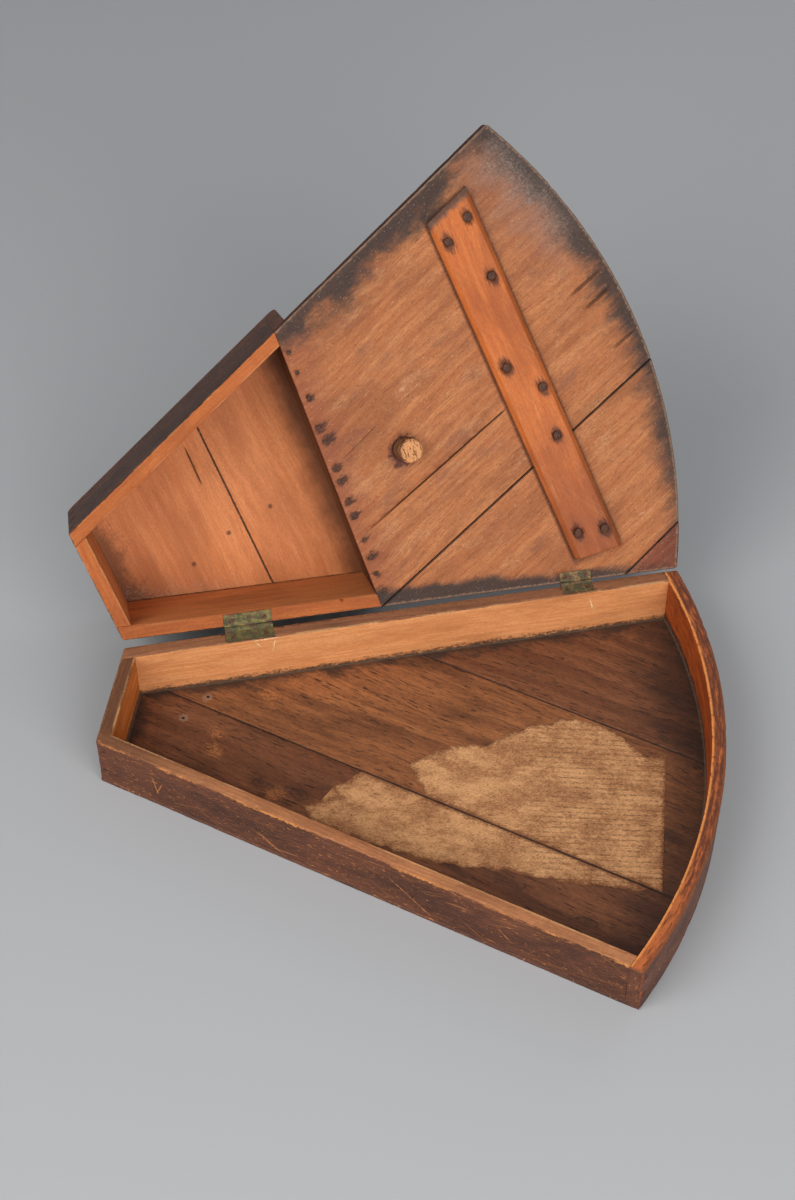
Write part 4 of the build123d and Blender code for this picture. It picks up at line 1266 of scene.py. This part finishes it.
def drive_nails(name, head_radius, dome, dents, seed):
    """Replace a frame node's nails with hand-driven ones."""
    body = frame["nodes"][name]["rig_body"]
    back = (TO_LID if body == "lid" else TO_TRAY).inverted()
    found = nail_points(name)
    cloud = bpy.data.meshes.new(name)
    cloud.from_pydata([back @ head for head, _, _, _ in found], [], [])
    towards = cloud.attributes.new("towards", "FLOAT_VECTOR", "POINT")
    for index, (_, direction, _, _) in enumerate(found):
        towards.data[index].vector = (back.to_3x3() @ direction).normalized()
    holder = bpy.data.objects.new(name + "_points", cloud)
    bpy.context.scene.collection.objects.link(holder)
    made = holder.modifiers.new("nails", "NODES")
    made.node_group = DRIVEN_NAILS
    sizes = {"Head Radius": head_radius, "Dome": dome, "Shank Radius": 0.9,
             "Shank Length": found[0][3] - 1, "Dents": dents}
    for item in DRIVEN_NAILS.interface.items_tree:
        if item.name in sizes:
            made[item.identifier] = sizes[item.name] / MM
        elif item.name == "Seed":
            made[item.identifier] = seed
        elif item.name == "Iron":
            made[item.identifier] = nail_iron
    holder.data.update()
    ready = holder.evaluated_get(bpy.context.evaluated_depsgraph_get())
    data = bpy.data.meshes.new_from_object(ready)
    data.name = name + "_driven"
    data.shade_smooth()
    data.set_sharp_from_angle(angle=math.radians(60))
    bpy.data.objects.remove(holder)
    piece = bpy.data.objects.new(name + "_driven", data)
    bpy.context.scene.collection.objects.link(piece)
    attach(piece, body)
    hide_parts(name)
    print(piece.name, len(found), "nails")
    return piece


drive_nails("batten_nails", 3.5, 0.7, 1, 1)
drive_nails("step_nails", 2.1, 0.3, 0.6, 2)
drive_nails("floor_nails", 1.9, 0.1, 0.2, 3)
drive_nails("tray_corner_nails", 1.9, 0.9, 0.3, 4)
drive_nails("hood_board_nails", 1.9, 0.15, 0.2, 5)
drive_nails("hood_corner_nails", 1.9, 0.9, 0.3, 6)

# %% [markdown]
# ## The whittled peg
#
# The peg was cut from a branch with a knife: its sides are a dozen uneven flats that
# lean in a little, and its end is two or three slicing cuts that don't quite meet. A
# low round mesh whose rings wander by noise gives the flats, and tilted planes,
# whichever is lowest at each point, give the cuts.

# %% Make the peg
PEG_RADIUS, PEG_HEIGHT, PEG_SIDES = 10, 12.5, 26


def peg_top(x, y):
    """How far the cut end stands above the board: the lowest of its knife cuts."""
    cuts = (PEG_HEIGHT - 0.2 - 0.05 * x, PEG_HEIGHT - 0.9 + 0.16 * x - 0.1 * y,
            PEG_HEIGHT + 0.3 - 0.14 * y)
    return min(cuts) + 0.35 * noise.noise(Vector((x, y, 0)) / 1.7)


def whittled_peg():
    mesh = bmesh.new()
    levels = (-9.8, 0, 2, 5, 8, 10.5, 12)
    rings = []
    for level in levels:
        ring = []
        for side in range(PEG_SIDES):
            angle = 2 * math.pi * side / PEG_SIDES
            flat = 0.5 * math.cos(angle * 5 + 0.8) + 0.35 * math.cos(angle * 8 + level * 0.2)
            radius = PEG_RADIUS - 0.03 * max(level, 0) + 0.3 * flat
            radius += 0.5 * noise.noise(Vector((math.cos(angle) * 3, math.sin(angle) * 3, level)))
            radius = 4.9 if level < 0 else min(radius, 9.8)
            x, y = radius * math.cos(angle), radius * math.sin(angle)
            if 0 <= level < 12:
                lean = 1 - level / 12
                x, y = x - 2.8 * lean, y - 1.2 * lean
            height = level if level < 12 else peg_top(x, y) - 0.5
            ring.append(mesh.verts.new((PEG[0] + x, PEG[1] + y, -height)))
        rings.append(ring)
    for share in (0.93, 0.75, 0.55, 0.35, 0.15):
        ring = []
        for vertex in rings[len(levels) - 1]:
            x, y = (vertex.co.x - PEG[0]) * share, (vertex.co.y - PEG[1]) * share
            ring.append(mesh.verts.new((PEG[0] + x, PEG[1] + y, -peg_top(x, y))))
        rings.append(ring)
    for lower, upper in zip(rings, rings[1:]):
        for side in range(PEG_SIDES):
            after = (side + 1) % PEG_SIDES
            mesh.faces.new((lower[side], lower[after], upper[after], upper[side]))
    mesh.faces.new(rings[0])
    mesh.faces.new(rings[-1])
    bmesh.ops.recalc_face_normals(mesh, faces=mesh.faces)
    return new_piece("whittled_peg", mesh, "lid", ["chock_peg"], "peg_wood",
                     lid_finishes["chock_peg"], 28)


print(whittled_peg().name)

# %% [markdown]
# ## The torn paper
#
# Torn paper has two kinds of edge: straight where it was cut or where the floor's
# joint split it, and frayed where it was rubbed away. The outline comes from the
# frame and is divided finely. Every point on a frayed side then wanders by noise.
# The sheet itself is a net with shallow wrinkles and a real, if small, thickness.

# %% Make the paper
PAPER_TOP = FLOOR + 0.2
PAPER_FRAY = 3.4
PAPER_STRAIGHT_X = 214


def frayed_outline(corners):
    """A torn outline: finely divided, wandering except on its cut and split sides."""
    outline = []
    for start, end in zip(corners, corners[1:] + corners[:1]):
        steps = max(1, round((end - start).length / 1.1))
        for i in range(steps):
            point = start.lerp(end, i / steps)
            at_joint = abs(inside(point.x, point.y)[0] - FLOOR_JOINTS[0]) < 2.5
            cut_side = point.x > PAPER_STRAIGHT_X
            reach = 0.3 if at_joint or cut_side else PAPER_FRAY
            coarse = noise.noise_vector(Vector((point.x, point.y, 0)) / 9)
            small = noise.noise_vector(Vector((point.x, point.y, 50)) / 2.5)
            outline.append(point + (coarse + small * 0.45) * reach)
    return outline


def torn_paper():
    source = case_mesh("paper_remnant")
    sheets = bmesh.new()
    edge_points = []
    for face in source.faces:
        if face.normal.z < 0.9:
            continue
        outline = frayed_outline([v.co.copy() for v in face.verts])
        edge_points += [(p.x, p.y) for p in outline]
        sheets.faces.new([sheets.verts.new((p.x, p.y, PAPER_TOP)) for p in outline])
    source.free()
    bmesh.ops.triangulate(sheets, faces=sheets.faces)
    cut_net(sheets, (3, 3, 9))
    for vertex in sheets.verts:
        ripple = noise.noise(vertex.co / 13) + 0.5 * noise.noise(vertex.co / 4)
        lift = 0.45 if vertex.is_boundary else 0.2
        vertex.co.z = PAPER_TOP + 0.06 + lift * max(0, ripple)
    bmesh.ops.recalc_face_normals(sheets, faces=sheets.faces)
    if sum(f.normal.z for f in sheets.faces) < 0:
        bmesh.ops.reverse_faces(sheets, faces=sheets.faces)
    data = bpy.data.meshes.new("sheet")
    sheets.to_mesh(data)
    sheets.free()
    holder = bpy.data.objects.new("sheet", data)
    bpy.context.scene.collection.objects.link(holder)
    thick = holder.modifiers.new("thickness", "SOLIDIFY")
    thick.thickness, thick.offset = 0.18, -1
    ready = holder.evaluated_get(bpy.context.evaluated_depsgraph_get())
    whole = bmesh.new()
    whole.from_mesh(bpy.data.meshes.new_from_object(ready))
    bpy.data.objects.remove(holder)
    edges = np.array(edge_points)
    inward = whole.verts.layers.float.new("inward")
    for vertex in whole.verts:
        vertex[inward] = np.hypot(*(edges - vertex.co.xy).T).min()
    return new_piece("torn_paper", whole, "tray", ["paper_remnant"], "old_paper",
                     tray_finishes["paper_remnant"])


print(torn_paper().name)

# %% Dress the frame
for name, material in {**tray_finishes, **lid_finishes}.items():
    node = frame["nodes"][name]
    node.data.materials.clear()
    node.data.materials.append(material)
for name, node in frame["nodes"].items():
    if name.endswith("nails"):
        chosen = nail_iron
    elif name.endswith("screws"):
        chosen = screw_iron
    elif "hinge_" in name and (name.endswith("leaf") or name.endswith("pin")):
        chosen = large_brass if name.startswith("large") else small_brass
    else:
        continue
    node.data.materials.clear()
    node.data.materials.append(chosen)

# %% Finish
table_finish = Finish("table_top")
table_finish.shader.inputs["Base Color"].default_value = (0.445, 0.453, 0.468, 1)
table_finish.shader.inputs["Roughness"].default_value = 0.9
table_top.data.materials.append(table_finish.material)
